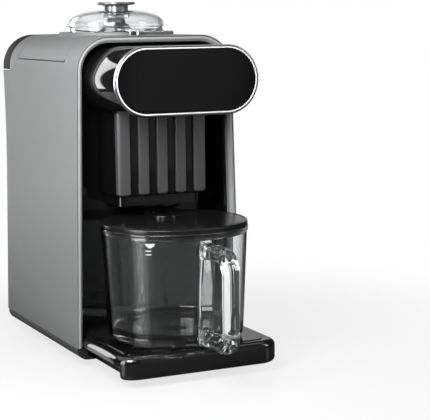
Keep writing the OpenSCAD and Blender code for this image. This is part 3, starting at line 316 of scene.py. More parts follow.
# A section of (y, inset) points carried along an outline in X and Z that is drawn inwards by the inset
def carry(section, outline, ring=False):
    lines = np.array([outline(inset) for y, inset in section])
    depth = np.broadcast_to(np.array([y for y, inset in section])[:, None], lines.shape[:2])
    points = np.stack([lines[..., 0], depth, lines[..., 1]], -1)
    rows, count = depth.shape
    faces = gridFaces(rows, count, True, ring)
    if not ring:
        faces += [list(range(0, rows * count, count)), list(range(count - 1, rows * count, count))]
    return points.reshape(-1, 3), faces


# An outline in X and Y set at a height, and one in X and Z set at a depth
def atHeight(line, z):
    return np.column_stack([line, np.full(len(line), z)])


def atDepth(line, y):
    return np.column_stack([line[:, 0], np.full(len(line), y), line[:, 1]])


# A closed outline in X and Y set at several (inset, z) levels, and closed above and below
def stack(levels, outline):
    return loft(np.array([atHeight(outline(inset), z) for inset, z in levels]))


def putPiece(name, parts, body, slot, replaced=(), sharp=32, finish=None):
    mesh = bpy.data.meshes.new(name)
    points, faces, start = [], [], 0
    for spots, sides in parts:
        points.append(np.asarray(spots, float))
        faces += [[start + i for i in side] for side in sides]
        start += len(spots)
    mesh.from_pydata((np.vstack(points) * mm + (0, shellFront, 0)).tolist(), [], faces)
    work = bmesh.new()
    work.from_mesh(mesh)
    bmesh.ops.remove_doubles(work, verts=work.verts, dist=2e-6)
    bmesh.ops.delete(work, geom=[v for v in work.verts if not v.link_faces], context="VERTS")
    bmesh.ops.recalc_face_normals(work, faces=work.faces)
    work.to_mesh(mesh)
    work.free()
    mesh.shade_smooth()
    mesh.set_sharp_from_angle(angle=math.radians(sharp))
    mesh.materials.append(finish or finishes[slot])
    piece = bpy.data.objects.new(name, mesh)
    scene.collection.objects.link(piece)
    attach(piece, body)
    if replaced:
        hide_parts(*replaced)
    return piece


def addWall(piece, thickness, bevel=0.0):
    wall = piece.modifiers.new("wall", "SOLIDIFY")
    wall.thickness = thickness * mm
    wall.offset = -1
    wall.use_even_offset = True
    if bevel:
        edge = piece.modifiers.new("edge", "BEVEL")
        edge.width = bevel * mm
        edge.segments = 2
        edge.limit_method = "ANGLE"
        edge.angle_limit = math.radians(40)
        edge.use_clamp_overlap = True


# Shell

shell = {
    "halfWidth": 93.57,  # at floor level
    "lean": math.radians(1.38),
    "top": 336.6,
    "corner": 35.5,
    "low": 20.5,
    "depth": 231.0,
    "sweepStart": 176.0,
    "sweepRadius": 709.0,
    "capFront": 217.0,
    "capLow": 297.4,
    "wall": 0.9,
    "edgeRound": 0.25,
    "hatchFront": 39.0,
    "hatchBack": 187.0,
    "hatchLow": 310.5,
    "hatchCorner": 3.5,
    "seam": 1.0,
    # A black strip under the hatch's seam, put there as painted shade in the gap:
    "seamShadeDrop": 1.15,  # below the shell's surface
    "seamShadeReach": (-1.8, 0.4, 3.4),  # from the cover's edge, outwards
    "seamShadeWall": 0.6,
    "rimPoints": 480,
}
cornerZ = shell["top"] - shell["corner"]
cornerX = shell["halfWidth"] - math.tan(shell["lean"]) * cornerZ - shell["corner"] / math.cos(shell["lean"])
bendEnd = math.pi / 2 - shell["lean"]
legTop = cornerZ + shell["corner"] * math.cos(bendEnd)


# Down from the middle of the top: a flat, a round corner, then a leaning side; u is the length along it
def archPoint(u, inset=0.0):
    away = np.abs(u)
    turn = np.clip((away - cornerX) / shell["corner"], 0, bendEnd)
    down = np.maximum(away - cornerX - shell["corner"] * bendEnd, 0)
    reach = shell["corner"] - inset
    x = np.minimum(away, cornerX) + reach * np.sin(turn) + down * math.sin(shell["lean"])
    z = cornerZ + reach * np.cos(turn) - down * math.cos(shell["lean"])
    return np.stack([np.sign(u) * x, z], -1)


# The length u at which the outline reaches a height
def archLength(z):
    if z >= legTop:
        return cornerX + shell["corner"] * math.acos(min(1, (z - cornerZ) / shell["corner"]))
    return cornerX + shell["corner"] * bendEnd + (legTop - z) / math.cos(shell["lean"])


# Lengths from the left foot over the top to the right foot, close together in the corners
def archLengths(low, marks=(), bends=24, legs=10):
    end = archLength(low)
    half = np.concatenate([np.linspace(0, cornerX, 9), np.linspace(cornerX, archLength(legTop), bends + 1),
                           np.linspace(archLength(legTop), end, legs + 1), marks])
    half = np.unique(np.round(half[half <= end + 1e-6], 5))
    return np.concatenate([-half[::-1], half[1:]])


def archOutline(low):
    lengths = archLengths(low)
    return lambda inset: archPoint(lengths, inset)


def rearEdge(z):
    past = z - shell["sweepStart"]
    return shell["depth"] + np.where(past > 0, past ** 2 / (2 * shell["sweepRadius"]), 0)


# Point on the skin from the length u along the arch and the depth y, drawn inwards by the inset
def onArch(u, y, inset=0.0):
    line = archPoint(u, inset)
    return np.stack([line[..., 0], y, line[..., 1]], -1)


# The skin is a grid over (u, y), without the cells of the hatch and of the dark cap
def makeShell(s):
    hatchU, capU = archLength(s["hatchLow"]), archLength(s["capLow"])
    r, front, back = s["hatchCorner"], s["hatchFront"], s["hatchBack"]
    u = archLengths(s["low"], (hatchU, hatchU - r, capU))
    y = np.concatenate([[0, 2, 12, 25, front, front + r], np.linspace(60, 165, 8),
                        [back - r, back, 200, s["capFront"]]])
    behind = np.linspace(0, 1, 7)[1:, None]
    depth = np.vstack([np.broadcast_to(y[:, None], (len(y), len(u))),
                       s["capFront"] + behind * (rearEdge(archPoint(u)[:, 1]) - s["capFront"])])
    midU = np.abs(u[1:] + u[:-1]) / 2
    row = np.concatenate([(y[1:] + y[:-1]) / 2, np.full(len(behind), s["capFront"] + 1)])[:, None]
    inHatch = (row > front) & (row < back) & (midU < hatchU)
    inCap = (row > s["capFront"]) & (midU < capU)
    faces = gridFaces(*depth.shape, keep=~(inHatch | inCap))
    points = onArch(np.broadcast_to(u, depth.shape), depth).reshape(-1, 3)
    piece = putPiece("bentShell", [(points, faces)], "machine", "shell_metal", ["outer_shell"])
    addWall(piece, s["wall"], s["edgeRound"])


# The hatch skin runs from the rounded edge of the hatch in to a circle under the deck; a black strip under
# its seam is painted shade in the gap
def makeHatch(s, c):
    halfU = archLength(s["hatchLow"]) - s["seam"]
    y0, y1 = s["hatchFront"] + s["seam"], s["hatchBack"] - s["seam"]
    edge = boxLine(-halfU, halfU, y0, y1, s["hatchCorner"] - s["seam"], steps=8)
    rim = spreadOut(edge, s["rimPoints"])
    angle = np.arctan2(rim[:, 1] - c["y"], rim[:, 0])
    hole = np.stack([np.cos(angle), np.sin(angle)], 1) * (c["deckRadius"] - 3) + (0, c["y"])
    flat = hole + np.linspace(0, 1, 30)[:, None, None] * (rim - hole)
    points = onArch(flat[..., 0], flat[..., 1]).reshape(-1, 3)
    faces = gridFaces(*flat.shape[:2], wrapColumns=True)
    piece = putPiece("topHatch", [(points, faces)], "machine", "shell_metal", ["top_cover"])
    addWall(piece, s["wall"], s["edgeRound"])
    # Black strip just below the seam: painted shade, so the gap between hatch and shell reads dark
    away = (np.roll(rim, -1, 0) - np.roll(rim, 1, 0))[:, ::-1] * (1, -1)
    away /= np.linalg.norm(away, axis=1, keepdims=True)
    strip = rim + away * np.array(s["seamShadeReach"])[:, None, None]
    points = onArch(strip[..., 0], strip[..., 1], s["seamShadeDrop"]).reshape(-1, 3)
    faces = gridFaces(*strip.shape[:2], wrapColumns=True)
    addWall(putPiece("hatchSeamShade", [(points, faces)], "machine", "seal_black"), s["seamShadeWall"])
    mouth, radius, top = c["mouth"], c["deckRadius"], c["deckTop"]
    deck = roundLine([(mouth, s["top"] - 1.6), (radius, s["top"] - 4), (radius, top), (mouth, top)],
                     [0.2, 0.2, 1.2, 0.6])
    putPiece("chamberDeck", [revolve(deck, (0, c["y"]), closed=True)], "machine", "shell_metal")


# Points set at even steps along a closed line
def spreadOut(line, count):
    closed = np.vstack([line, line[:1]])
    length = np.concatenate([[0], np.cumsum(np.linalg.norm(np.diff(closed, axis=0), axis=1))])
    at = np.linspace(0, length[-1], count, endpoint=False)
    return np.stack([np.interp(at, length, closed[:, 0]), np.interp(at, length, closed[:, 1])], 1)


chamber = {
    "y": 106.6,
    "mouth": 52.7,
    "deckRadius": 62.0,
    "deckTop": 340.0,
}


makeShell(shell)
makeHatch(shell, chamber)


# Front frame and bay liner

band = {
    "outer": 1.6,  # insets from the shell's outline
    "inner": 6.4,
    "depth": 9.0,
    "bevel": 2.6,
    "lap": 1.2,  # step under the shell's edge
    "lapDepth": 3.7,
    "linerOut": 2.9,
    "linerIn": 9.2,
    "linerEdge": 5.9,
    "linerFront": 9.3,
    "linerBack": 44.6,
}


# Two sections of (y, inset) points, for the frame and for the liner's lip, carried along the arch
def makeBand(b, s):
    depth, bevel, step, lap = b["depth"], b["bevel"], b["lapDepth"], b["outer"] + b["lap"]
    outline = archOutline(s["low"])
    section = roundLine([(0, b["outer"]), (0, b["inner"] - bevel), (bevel, b["inner"]), (depth, b["inner"]),
                         (depth, lap), (step, lap), (step, b["outer"])],
                        [0.4, 0.5, 0.5, 0.3, 0.2, 0.1, 0.1], steps=4)
    putPiece("frontBand", [carry(section, outline)], "machine", "frame_metal", ["front_frame"])
    front, back, outer, inner, end = (b["liner" + k] for k in ("Front", "Back", "Out", "In", "Edge"))
    lip = roundLine([(front, outer), (front, inner), (depth + 7, inner), (depth + 9, end), (back, end),
                     (back, outer)], [0.3, 2.2, 0.6, 0.6, 0.1, 0.1], steps=5)
    putPiece("bayLip", [carry(lip, outline)], "machine", "gloss_black")


makeBand(band, shell)


# Rear cap over the tank's filling mouth

cap = {
    "front": 217.7,
    "back": 242.7,
    "low": 298.1,
    "rise": 0.2,  # gap below its foot
    "edge": 2.5,  # radius of the back edge
    "frontEdge": 0.4,
    "plugHalf": 68.0,
    "plug": (222.7, 233.7),  # front and back of the plug
    "plugLow": 291.0,
    "plugTop": 298.6,
    "plugWall": 2.0,
}


# The arch's points above a height, with both feet at that height
def capRing(inset, low):
    end = archLength(low)
    lengths = archLengths(legTop, bends=28, legs=2)
    lengths = lengths[np.abs(lengths) < end]
    return archPoint(np.concatenate([[-end], lengths, [end]]), inset)


# Rings at depths y, drawn inwards along a quarter circle at each end, and the walls of a plug below
def makeCap(c):
    turn = np.linspace(0, math.pi / 2, 7)
    edge, small = c["edge"], c["frontEdge"]
    y = np.concatenate([[c["front"]], c["front"] + small * (1 - np.cos(turn[1:])),
                        c["back"] - edge * (1 - np.sin(turn))])
    inset = np.concatenate([[small], small * (1 - np.sin(turn[1:])), edge * (1 - np.cos(turn))])
    rings = np.array([atDepth(capRing(i, c["low"] + c["rise"]), depth) for depth, i in zip(y, inset)])
    half, (y0, y1), w = c["plugHalf"], c["plug"], c["plugWall"]
    levels = ((0, c["plugLow"]), (0, c["plugTop"]), (w, c["plugTop"]), (w, c["plugLow"]))
    walls = np.array([atHeight(boxLine(i - half, half - i, y0 + i, y1 - i, 0.3, steps=2), z)
                      for i, z in levels])
    putPiece("tankCap", [loft(rings), loft(walls, wrapRows=True)], "tank_cap", "dark_plastic", ["tank_lid"],
             finish=capSatin)


makeCap(cap)


# Head

head = {
    "halfWidth": 77.4,
    "halfHeight": 34.4,
    "z": 293.5,
    "front": -77.7,
    "ringDepth": 3.2,
    "line": (2.1, 3.3),  # insets of the white line along the ring's inner edge, a painted highlight
    "back": 44.7,
    "wall": 3.0,
    "rebate": 9.0,  # inset of the housing's front opening
}


# Two half circles joined by flats, drawn inwards by the inset
def headOutline(inset):
    reach = head["halfWidth"] - head["halfHeight"]
    radius = head["halfHeight"] - inset
    turn = np.linspace(-math.pi / 2, math.pi / 2, 49)
    right = np.stack([reach + radius * np.cos(turn), radius * np.sin(turn)], 1)
    flat = np.linspace(reach, -reach, 7)[1:-1]
    half = np.vstack([right, np.stack([flat, np.full(len(flat), radius)], 1)])
    return np.vstack([half, -half]) + (0, head["z"])


# Housing, ring and the white line of painted highlight are sections of (y, inset) points carried round the
# outline
def makeHead(h):
    y0, back = h["front"], h["back"]
    front, inside, opening = y0 + h["ringDepth"], 1 + h["wall"], h["rebate"]
    line0, line1 = h["line"]
    housing = roundLine([(front, 1.0), (back, 1.0), (back, inside), (front + 3, inside), (front + 3, opening),
                         (front, opening)], [0.6, 0.1, 0.1, 0.5, 0.3, 0.2], steps=4)
    putPiece("headHousing", [carry(housing, headOutline, ring=True)], "machine", "gloss_black",
             ["head_housing"], finish=headGloss)
    ring = roundLine([(y0 + 0.35, line0), (y0 + 0.35, 0.9), (y0 + 1.4, 0), (front - 0.3, 0),
                      (front - 0.05, 0.9), (front - 0.05, line0)], [0.1, 0.8, 0.6, 0.5, 0.2, 0.1], steps=5)
    putPiece("headRing", [carry(ring, headOutline, ring=True)], "machine", "bright_trim", ["head_bezel"],
             finish=darkChrome)
    # The ring's inner edge gets a white line: a painted highlight
    line = roundLine([(y0, line0 + 0.05), (y0, line1), (front - 0.1, line1), (front - 0.1, line0 + 0.05)],
                     [0.25, 0.15, 0.05, 0.05], steps=3)
    putPiece("ringLine", [carry(line, headOutline, ring=True)], "machine", "bright_trim", finish=ringHighlightPaint)
    rows = ((front - 0.1, 0.1), (y0 + 0.9, 0.1), (y0 + 0.6, 0.25), (y0 + 0.5, 0.6))
    rings = np.array([atDepth(headOutline(line1 + i), y) for y, i in rows])
    putPiece("panelGlass", [loft(rings)], "machine", "panel_glass", ["touch_panel"])


makeHead(head)


# Outlet column

column = {
    "halfWidth": 49.0,
    "front": -13.0,
    "back": 44.7,
    "low": 173.9,
    "high": 259.8,
    "groove": 3.5,
    "pitch": 20.6,
    "rib": 11.0,
    "grooves": 4,
    "edges": (4.0, 3.2, 1.0),  # radius of the left edge, the right edge and the ribs' own edges
    "inset": 0.6,  # of the body below the ribs
    "outerReach": 4.0,  # how much further back the outer ribs go
}


# Levels (inset, z) of an upright block with a rounded lower edge
def softFoot(z0, z1, radius, steps=5):
    turn = np.linspace(0, math.pi / 2, steps + 1)
    return [(radius * (1 - math.sin(t)), z0 + radius * (1 - math.cos(t))) for t in turn] + [(0, z1)]


# An upright block with a rounded foot, and in front of it one such block for each rib
def makeColumn(c):
    half, face, back = c["halfWidth"], c["front"] + c["groove"], c["back"]
    body = stack(softFoot(c["low"], c["high"], 2),
                 lambda i: boxLine(-half + c["inset"] + i, half - c["inset"] - i, face + i, back,
                                   [2.5, 2.5, 0.5, 0.5]))
    putPiece("columnBody", [body], "machine", "gloss_black", ["rib_column"])
    middle = (np.arange(c["grooves"]) - (c["grooves"] - 1) / 2) * c["pitch"]
    reach = (c["pitch"] - c["rib"]) / 2
    edges = np.concatenate([[-half], np.stack([middle - reach, middle + reach], 1).ravel(), [half]])
    left, right, own = c["edges"]
    ribs = []
    for i, (x0, x1) in enumerate(edges.reshape(-1, 2)):
        first, last = i == 0, i == c["grooves"]
        corners = [left if first else own, right if last else own, 0.3, 0.3]
        end = face + 0.6 + (c["outerReach"] if first or last else 0)
        ribs.append(stack(softFoot(c["low"] + 1.5, c["high"] - 0.3, 3.0), lambda inset: boxLine(
            x0 + inset, x1 - inset, c["front"] + inset * 0.6, end, corners)))
    # The ribs' lighter grey is painted sheen; their satin roughness is their own
    putPiece("columnRibs", ribs, "machine", "dark_plastic", finish=ribSatinPaintedSheen)


makeColumn(column)


# Jug

jug = {
    "y": -38.0,
    "foot": 32.5,
    "height": 114.8,
    "rimRadius": 75.0,
    "baseRadius": 69.7,
    "wall": 3.0,
    "bottom": 9.0,
    "edge": 8.0,  # radius of the lower edge
    "bead": 5.0,  # height of the thick rim
    "beadStep": 0.9,
    "hollow": 46.0,  # radius of the hollow under the foot
    "hollowRise": 1.5,
    "boss": 9.0,  # radius of the small rise in the middle of the floor
    "bossRise": 1.8,
}


def jugRadius(z, j=jug):
    return j["baseRadius"] + (j["rimRadius"] - j["baseRadius"]) * (z - j["edge"]) / (j["height"] - j["edge"])


def makeJug(j):
    h, w, step, base, rim = j["height"], j["wall"], j["beadStep"], j["baseRadius"], j["rimRadius"]
    under, bossTop = h - j["bead"], j["bottom"] + j["bossRise"]
    outer = [(0, j["hollowRise"]), (j["hollow"] - 2, j["hollowRise"]), (j["hollow"], 0), (base - step, 0),
             (jugRadius(under - 1.5) - step, under - 1.5), (jugRadius(under), under), (rim, h), (rim - w, h),
             (base - w - 0.4, j["bottom"]), (j["boss"] + 4, j["bottom"] - 0.3), (j["boss"], bossTop),
             (0, bossTop)]
    line = roundLine(outer, [0, 0.8, 1.5, j["edge"], 1.2, 0.8, 1.2, 1.2, 9.0, 2.0, 1.5, 0], closed=False,
                     steps=8)
    line[:, 1] += j["foot"]
    putPiece("jugGlass", [revolve(line, (0, j["y"]), turns=160)], "jug", "clear_glass", ["jug_glass"],
             sharp=60)


# Flat marks on the glass as (angle, height) corners, angles in degrees from the front towards the right
marks = {
    "pointer": [(-47.4, 138.7), (-38.8, 139.1), (-40.0, 136.6), (-43.0, 134.1), (-45.0, 136.0)],
    "upper": [(-46.6, 132.0), (-42.0, 132.2), (-42.0, 131.3), (-46.6, 131.1)],
    "lower": [(-46.6, 128.4), (-42.0, 128.6), (-42.0, 127.7), (-46.6, 127.5)],
}


# Point = axis + (wall's radius + lift) in the mark's direction, at two lifts that make a thin slab
def makeMarks(shapes, j):
    parts = []
    for corners in shapes.values():
        angle, z = np.array(corners).T
        angle = np.radians(angle)
        rings = []
        for lift in (-0.02, 0.12):
            away = jugRadius(z - j["foot"]) - j["beadStep"] + lift
            rings.append(np.stack([away * np.sin(angle), j["y"] - away * np.cos(angle), z], -1))
        parts.append(loft(np.array(rings)))
    putPiece("jugMarks", parts, "jug", "white_plastic")


makeMarks(marks, jug)


handle = {
    "halfWidth": 8.0,
    "reach": 134.35,  # from the jug's axis to the front of the grip
    "low": 5.0,
    "high": 106.8,
    "grip": 15.0,
    "arm": 15.0,
    "spine": 4.0,
    "round": 6.0,  # radius of the section's corners
    "steps": 14,  # per corner of the outlines
}


# Two closed outlines in Y and Z, matched point for point, with a rounded section set between them
def makeHandle(k, j):
    z0, z1, front, steps = k["low"], k["high"], -k["reach"], k["steps"]
    low, high, grip = z0 + k["arm"], z1 - k["arm"], front + k["grip"]
    outer = roundLine([(-jugRadius(z0) - 0.1, z0), (-jugRadius(z1) - 0.1, z1), (front, z1), (front, z0)],
                      [1.5, 1.5, 21, 19], steps=steps)
    inner = roundLine([(-jugRadius(z0) - k["spine"], low), (-jugRadius(z1) - k["spine"], high),
                       (grip, high), (grip, low)], [3, 3, 9, 9], steps=steps)
    outer, inner = (fillStraights(line, steps + 1, 6) for line in (outer, inner))
    middle, half = (outer + inner) / 2, np.linalg.norm(outer - inner, axis=1)[:, None] / 2
    aim = (outer - inner) / (2 * half)
    radius = np.minimum(k["round"], half * 0.92)
    turn = np.linspace(0, 2 * math.pi, 40, endpoint=False)
    signX, signB = np.sign(np.cos(turn + 1e-3)), np.sign(np.sin(turn + 1e-3))
    x = signX * (k["halfWidth"] - radius) + radius * np.cos(turn)
    b = signB * (half - radius) + radius * np.sin(turn)
    y = middle[:, :1] + aim[:, :1] * b + j["y"]
    z = middle[:, 1:] + aim[:, 1:] * b + j["foot"]
    putPiece("jugHandle", [loft(np.stack([x, y, z], -1), wrapRows=True)], "jug", "clear_glass",
             ["jug_handle"], sharp=60)


# Extra points along the straights of a rounded outline, whose arcs have a fixed number of points
def fillStraights(line, arc, extra):
    arcs = line.reshape(-1, arc, 2)
    t = np.linspace(0, 1, extra + 2)[1:-1, None]
    runs = arcs[:, -1][:, None] * (1 - t) + np.roll(arcs[:, 0], -1, 0)[:, None] * t
    return np.concatenate([arcs, runs], 1).reshape(-1, 2)


makeJug(jug)
makeHandle(handle, jug)


jugLid = {
    "radius": 74.4,
    "low": 147.6,
    "high": 152.3,
    "plug": 6.0,
    "plugRadius": 70.3,
    "inlet": 7.6,  # radius
    "inletY": 18.2,
    "collar": 15.0,  # outer radius of its round ends
    "collarWall": 2.4,
    "collarEnds": (-16.0, 14.0),  # centres of its round ends
    "collarTop": 154.8,
}


# Two half circles joined by straights along Y
def longOval(radius, ends, steps=33):
    turn = np.linspace(0, math.pi, steps)
    back = np.stack([radius * np.cos(turn), ends[1] + radius * np.sin(turn)], 1)
    front = np.stack([-radius * np.cos(turn), ends[0] - radius * np.sin(turn)], 1)
    return np.vstack([back, front])


# The plate's rings move from the jug's axis to the inlet's as they shrink, and so never cross
def makeJugLid(l, j):
    foot = j["foot"] + j["height"] - l["plug"]
    r, low, high, plug, inlet = l["radius"], l["low"], l["high"], l["plugRadius"], l["inlet"]
    inner = plug - 2.3
    line = roundLine([(inlet, low + 0.6), (inner, low + 0.6), (inner, foot), (plug, foot), (plug, low),
                      (r, low), (r, high - 0.8), (r - 1.4, high), (r - 2.6, high), (r - 2.9, high - 0.5),
                      (r - 4.4, high - 0.5), (r - 4.8, high - 0.1), (inlet, high - 0.1)],
                     [0.4, 0.5, 0.3, 0.3, 0.3, 0.5, 0.6, 0.5, 0.15, 0.15, 0.15, 0.15, 0.4], steps=4)
    share = np.clip((inner - line[:, 0]) / (inner - inlet), 0, 1)
    middle = j["y"] + share * (l["inletY"] - j["y"])
    plate = revolve(line, (0, middle), turns=160, closed=True)
    putPiece("jugLidPlate", [plate], "jug_cover", "dark_plastic", ["jug_lid"], finish=lidSatin)
    outside, inside, top = l["collar"], l["collar"] - l["collarWall"], l["collarTop"]
    section = roundLine([(outside, high - 0.3), (outside, top), (inside, top), (inside, high - 0.3)],
                        [0.1, 0.9, 0.9, 0.1], steps=5)
    rings = np.array([atHeight(longOval(radius, l["collarEnds"]), z) for radius, z in section])
    putPiece("inletCollar", [loft(rings, wrapRows=True)], "jug_cover", "gloss_black")


makeJugLid(jugLid, jug)


# Drip drawer and its cover

drawer = {
    "halfWidth": 87.3,
    "front": -105.0,
    "back": -0.4,
    "low": 8.4,
    "high": 31.6,
    "corner": 21.0,
    "topRound": 7.0,
    "lowRound": 5.0,
    "waist": 22.5,  # height at which the sides turn inwards at 45 degrees
    "waistFront": -94.5,
    "tongue": 80.0,
    "tongueLow": 11.8,
    "tongueEnd": 43.0,
    "channel": 60.5,
    "channelFront": -85.5,
    "seat": (75.3, -93.0, 42.3),  # half width, front and back of the cover's seat
    "seatCorner": 12.2,
    "seatLow": 29.1,
    "basin": 3.0,  # inset of the basin from the seat
    "basinLow": 13.8,
}


# From the middle of the back along the left side to the front; the tongue keeps its own width and height
def drawerSide(d, inset, z):
    w, r, front = d["halfWidth"], d["corner"], d["front"]
    first = math.asin((front + r - d["channelFront"]) / (r - d["lowRound"] - 1))
    turn = np.concatenate([[first], np.linspace(math.radians(9), math.pi / 2, 18)])
    x = np.concatenate([[d["channel"]], [d["tongue"]] * 3, np.full(6, w - inset),
                        w - r + (r - inset) * np.cos(turn), [d["channel"]]])
    y = np.concatenate([[d["tongueEnd"]] * 2, [20, d["back"]], np.linspace(d["back"], front + r, 6),
                        front + r - (r - inset) * np.sin(turn), [front + inset]])
    share = np.clip((y - d["waistFront"]) / 6, 0, 1)
    share = share * share * (3 - 2 * share)
    share[:4] = 0
    x = x + share * (np.minimum(x, w - max(0, d["waist"] - z)) - x)
    height = np.full(len(x), float(z))
    height[:4] = max(z, d["tongueLow"])
    return np.stack([-x, y, height], -1)


def bothSides(left):
    return np.vstack([left, left[::-1] * (-1, 1, 1)])


# Nearest point on the seat's outline, grown by some millimetres, for every point of a ring round it
def seatRing(d, ring, grow, z):
    half, front, back = d["seat"]
    corner = d["seatCorner"]
    spot = np.stack([np.clip(ring[:, 0], corner - half, half - corner),
                     np.clip(ring[:, 1], front + corner, back)], 1)
    off = ring[:, :2] - spot
    off /= np.linalg.norm(off, axis=1, keepdims=True)
    line = spot + (corner + grow) * off
    line[:, 1] = np.minimum(line[:, 1], back + grow)
    return atHeight(line, z)


# Rings (inset, z) from the underside up and over the edge, then down into the seat and the basin
def makeDrawer(d):
    top, low, under, over = d["high"], d["seatLow"], d["lowRound"], d["topRound"]
    levels = roundLine([(under + 1, d["low"]), (0, d["low"]), (0, top), (over + 1, top)],
                       [0, under, over, 0], closed=False, steps=10)
    levels = np.insert(levels, np.searchsorted(levels[:, 1], d["waist"]), (0, d["waist"]), axis=0)
    rings = [bothSides(drawerSide(d, inset, z)) for inset, z in levels]
    outer = rings[-1]
    for grow, z in ((0.3, top), (0.08, top - 0.08), (0, top - 0.3), (0, low), (-d["basin"], low),
                    (-d["basin"], d["basinLow"])):
        rings.append(seatRing(d, outer, grow, z))
    count = len(outer)
    faces = gridFaces(len(rings), count, wrapColumns=True)
    faces.append(list(range((len(rings) - 1) * count, len(rings) * count)))
    putPiece("drawerBody", [(np.vstack(rings), faces), drawerFloor(d, drawerSide(d, *levels[0]))], "drawer",
             "gloss_black", ["drip_tray"], finish=drawerGloss)


# Rows across the underside, with a channel that runs out at the back
def drawerFloor(d, side):
    edge, channel = side[1:-1], d["channel"]
    inside = edge[:, 1] > d["channelFront"] - 0.001
    split = np.flatnonzero(inside)[-1] + 1
    edge = np.insert(edge, split, edge[split - 1], axis=0)
    count = len(edge)
    ceiling = np.where(np.arange(count) < split, d["tongueLow"], edge[:, 2])
    walls = [np.full(count, k) for k in (-channel, -channel, channel, channel)]
    x = np.stack([edge[:, 0], *walls, -edge[:, 0]], 1)
    z = np.stack([edge[:, 2], edge[:, 2], ceiling, ceiling, edge[:, 2], edge[:, 2]], 1)
    points = np.stack([x, np.broadcast_to(edge[:, 1:2], x.shape), z], -1)
    return points.reshape(-1, 3), gridFaces(*x.shape)


makeDrawer(drawer)


# Feet

feet = {
    "x": (-53.0, 53.0),
    "y": (-62.0, 70.0, 205.0),
    "profile": [(0, 0.6), (6.5, 0.6), (7.2, 0), (9.4, 0), (10, 2.2), (10, 8.2), (0, 8.2)],
    "rounds": [0, 0.4, 0.3, 0.8, 1.0, 0.3, 0],
}


def makeFeet(f):
    low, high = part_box("feet")
    line = roundLine(f["profile"], f["rounds"], closed=False, steps=4)
    parts = [revolve(line, (x, y), turns=48) for x in f["x"] for y in f["y"]]
    putPiece("rubberFeet", parts, "machine", "foot_rubber", ["feet"])


makeFeet(feet)


# Chamber lid, knob and nut

lid = {
    "skirtLow": 320.5,
    "skirt": 49.7,
    "rim": 51.4,
    "rimZ": 346.0,
    "domeLow": 348.6,
    "domeHigh": 362.7,
    "domeInner": 14.6,
    "floor": 357.0,  # height of the recess round the neck
    "wall": 3.0,
    "stud": 5.1,  # radius of the hole for the knob's stud
    "knob": 20.5,
    "neck": 13.5,
    "knobTop": 371.4,
    "knobEdge": 2.4,
    "nut": 18.0,
    "lugHalf": 17.5,
    "lugFront": 20.0,
    "lugLow": 337.2,
    "lugHigh": 343.4,
    "lugWall": 2.8,
    "pocket": 5.2,  # width and depth of the magnet's pocket
}


# Dome: radius = inner + (rim - inner) sin t, height = low + rise cos t, from the rim up to a recess
def makeDome(l, c):
    w, inner, low, high = l["wall"], l["domeInner"], l["domeLow"], l["domeHigh"]
    skirtIn, skirt, rim, floor, stud = l["skirt"] - w, l["skirt"], l["rim"], l["floor"], l["stud"]
    turn = np.linspace(math.pi / 2, 0, 26)[:, None]
    over = np.hstack([inner + (rim - inner) * np.sin(turn), low + (high - low) * np.cos(turn)])
    under = np.hstack([inner + 1 + (skirtIn - inner - 1) * np.sin(turn),
                       low - 1 + (high + 1 - w - low) * np.cos(turn)])
    side = roundLine([(skirtIn, low - 2), (skirtIn, l["skirtLow"]), (skirt, l["skirtLow"]),
                      (skirt, l["rimZ"] - 1.2), (rim, l["rimZ"]), (rim, low - 0.5)],
                     [0, 0.6, 0.8, 0.5, 0.7, 0], closed=False, steps=4)
    middle = roundLine([(inner + 1, high - w), (inner - 0.4, floor - w), (stud, floor - w), (stud, floor),
                        (inner - 0.4, floor), (inner, high - 0.3)],
                       [0, 0.8, 0.2, 0.2, 0.5, 0], closed=False, steps=4)
    line = np.vstack([side[1:-1], over[:-1], middle[::-1], under[::-1]])
    return revolve(line, (0, c["y"]), closed=True)


# Two upright parts of the lug: a thin wall bent round the magnet's pocket, and the plate above it
def makeLug(l, c):
    half, y0, y1, pocket = l["lugHalf"], l["lugFront"], c["y"] - l["skirt"] + 0.6, l["pocket"]
    x0, thick, deep = pocket - half, 3, y0 + pocket
    plan = roundLine([(-half, deep + 1), (x0, deep + 1), (x0, y0), (half, y0), (half, y0 + thick),
                      (x0 + thick, y0 + thick), (x0 + thick, deep + 4), (-half, deep + 4)], 0.3, steps=2)
    top, high = l["lugHigh"] - l["lugWall"], l["lugHigh"]
    wall = loft(np.array([atHeight(plan, z) for z in (l["lugLow"], top + 0.3)]))
    plate = stack([(0.3, top + 0.25), (0, top + 0.5), (0, high - 0.4), (0.4, high)],
                  lambda i: boxLine(i - half, half - i, y0 + i, y1, [1.2, 1.2, 0.2, 0.2]))
    return [wall, plate]


# Knob and nut are turned about the chamber's axis
def makeKnob(l, c):
    top, floor, knob, neck, stud, nut = (l[k] for k in ("knobTop", "floor", "knob", "neck", "stud", "nut"))
    under = top - l["knobEdge"]
    line = roundLine([(0, top - 0.9), (knob - 5, top - 0.9), (knob - 3.5, top), (knob, top), (knob, under),
                      (neck - 0.6, under - 1.2), (neck, floor + 0.1), (0, floor + 0.1)],
                     [0, 1.5, 0.8, 0.7, 0.7, 1.2, 0.3, 0], closed=False, steps=5)
    putPiece("knobTurned", [revolve(line, (0, c["y"]))], "chamber_cover", "knob_grey", ["lid_knob"])
    high = floor - l["wall"]
    line = roundLine([(stud, high - 0.1), (9, high - 0.1), (nut - 2, high - 8), (nut, high - 10),
                      (nut, high - 14), (nut - 3, high - 14), (stud, high - 13)],
                     [0.1, 1.5, 2.5, 1.5, 1.2, 1, 0.1], steps=6)
    putPiece("nutCone", [revolve(line, (0, c["y"]), closed=True)], "chamber_cover", "grey_plastic",
             ["knob_nut"])


putPiece("lidDome", [makeDome(lid, chamber), *makeLug(lid, chamber)], "chamber_cover", "clear_plastic",
         ["chamber_lid"], sharp=50)
makeKnob(lid, chamber)
print("pieces ready")


# Floor, world and lamps

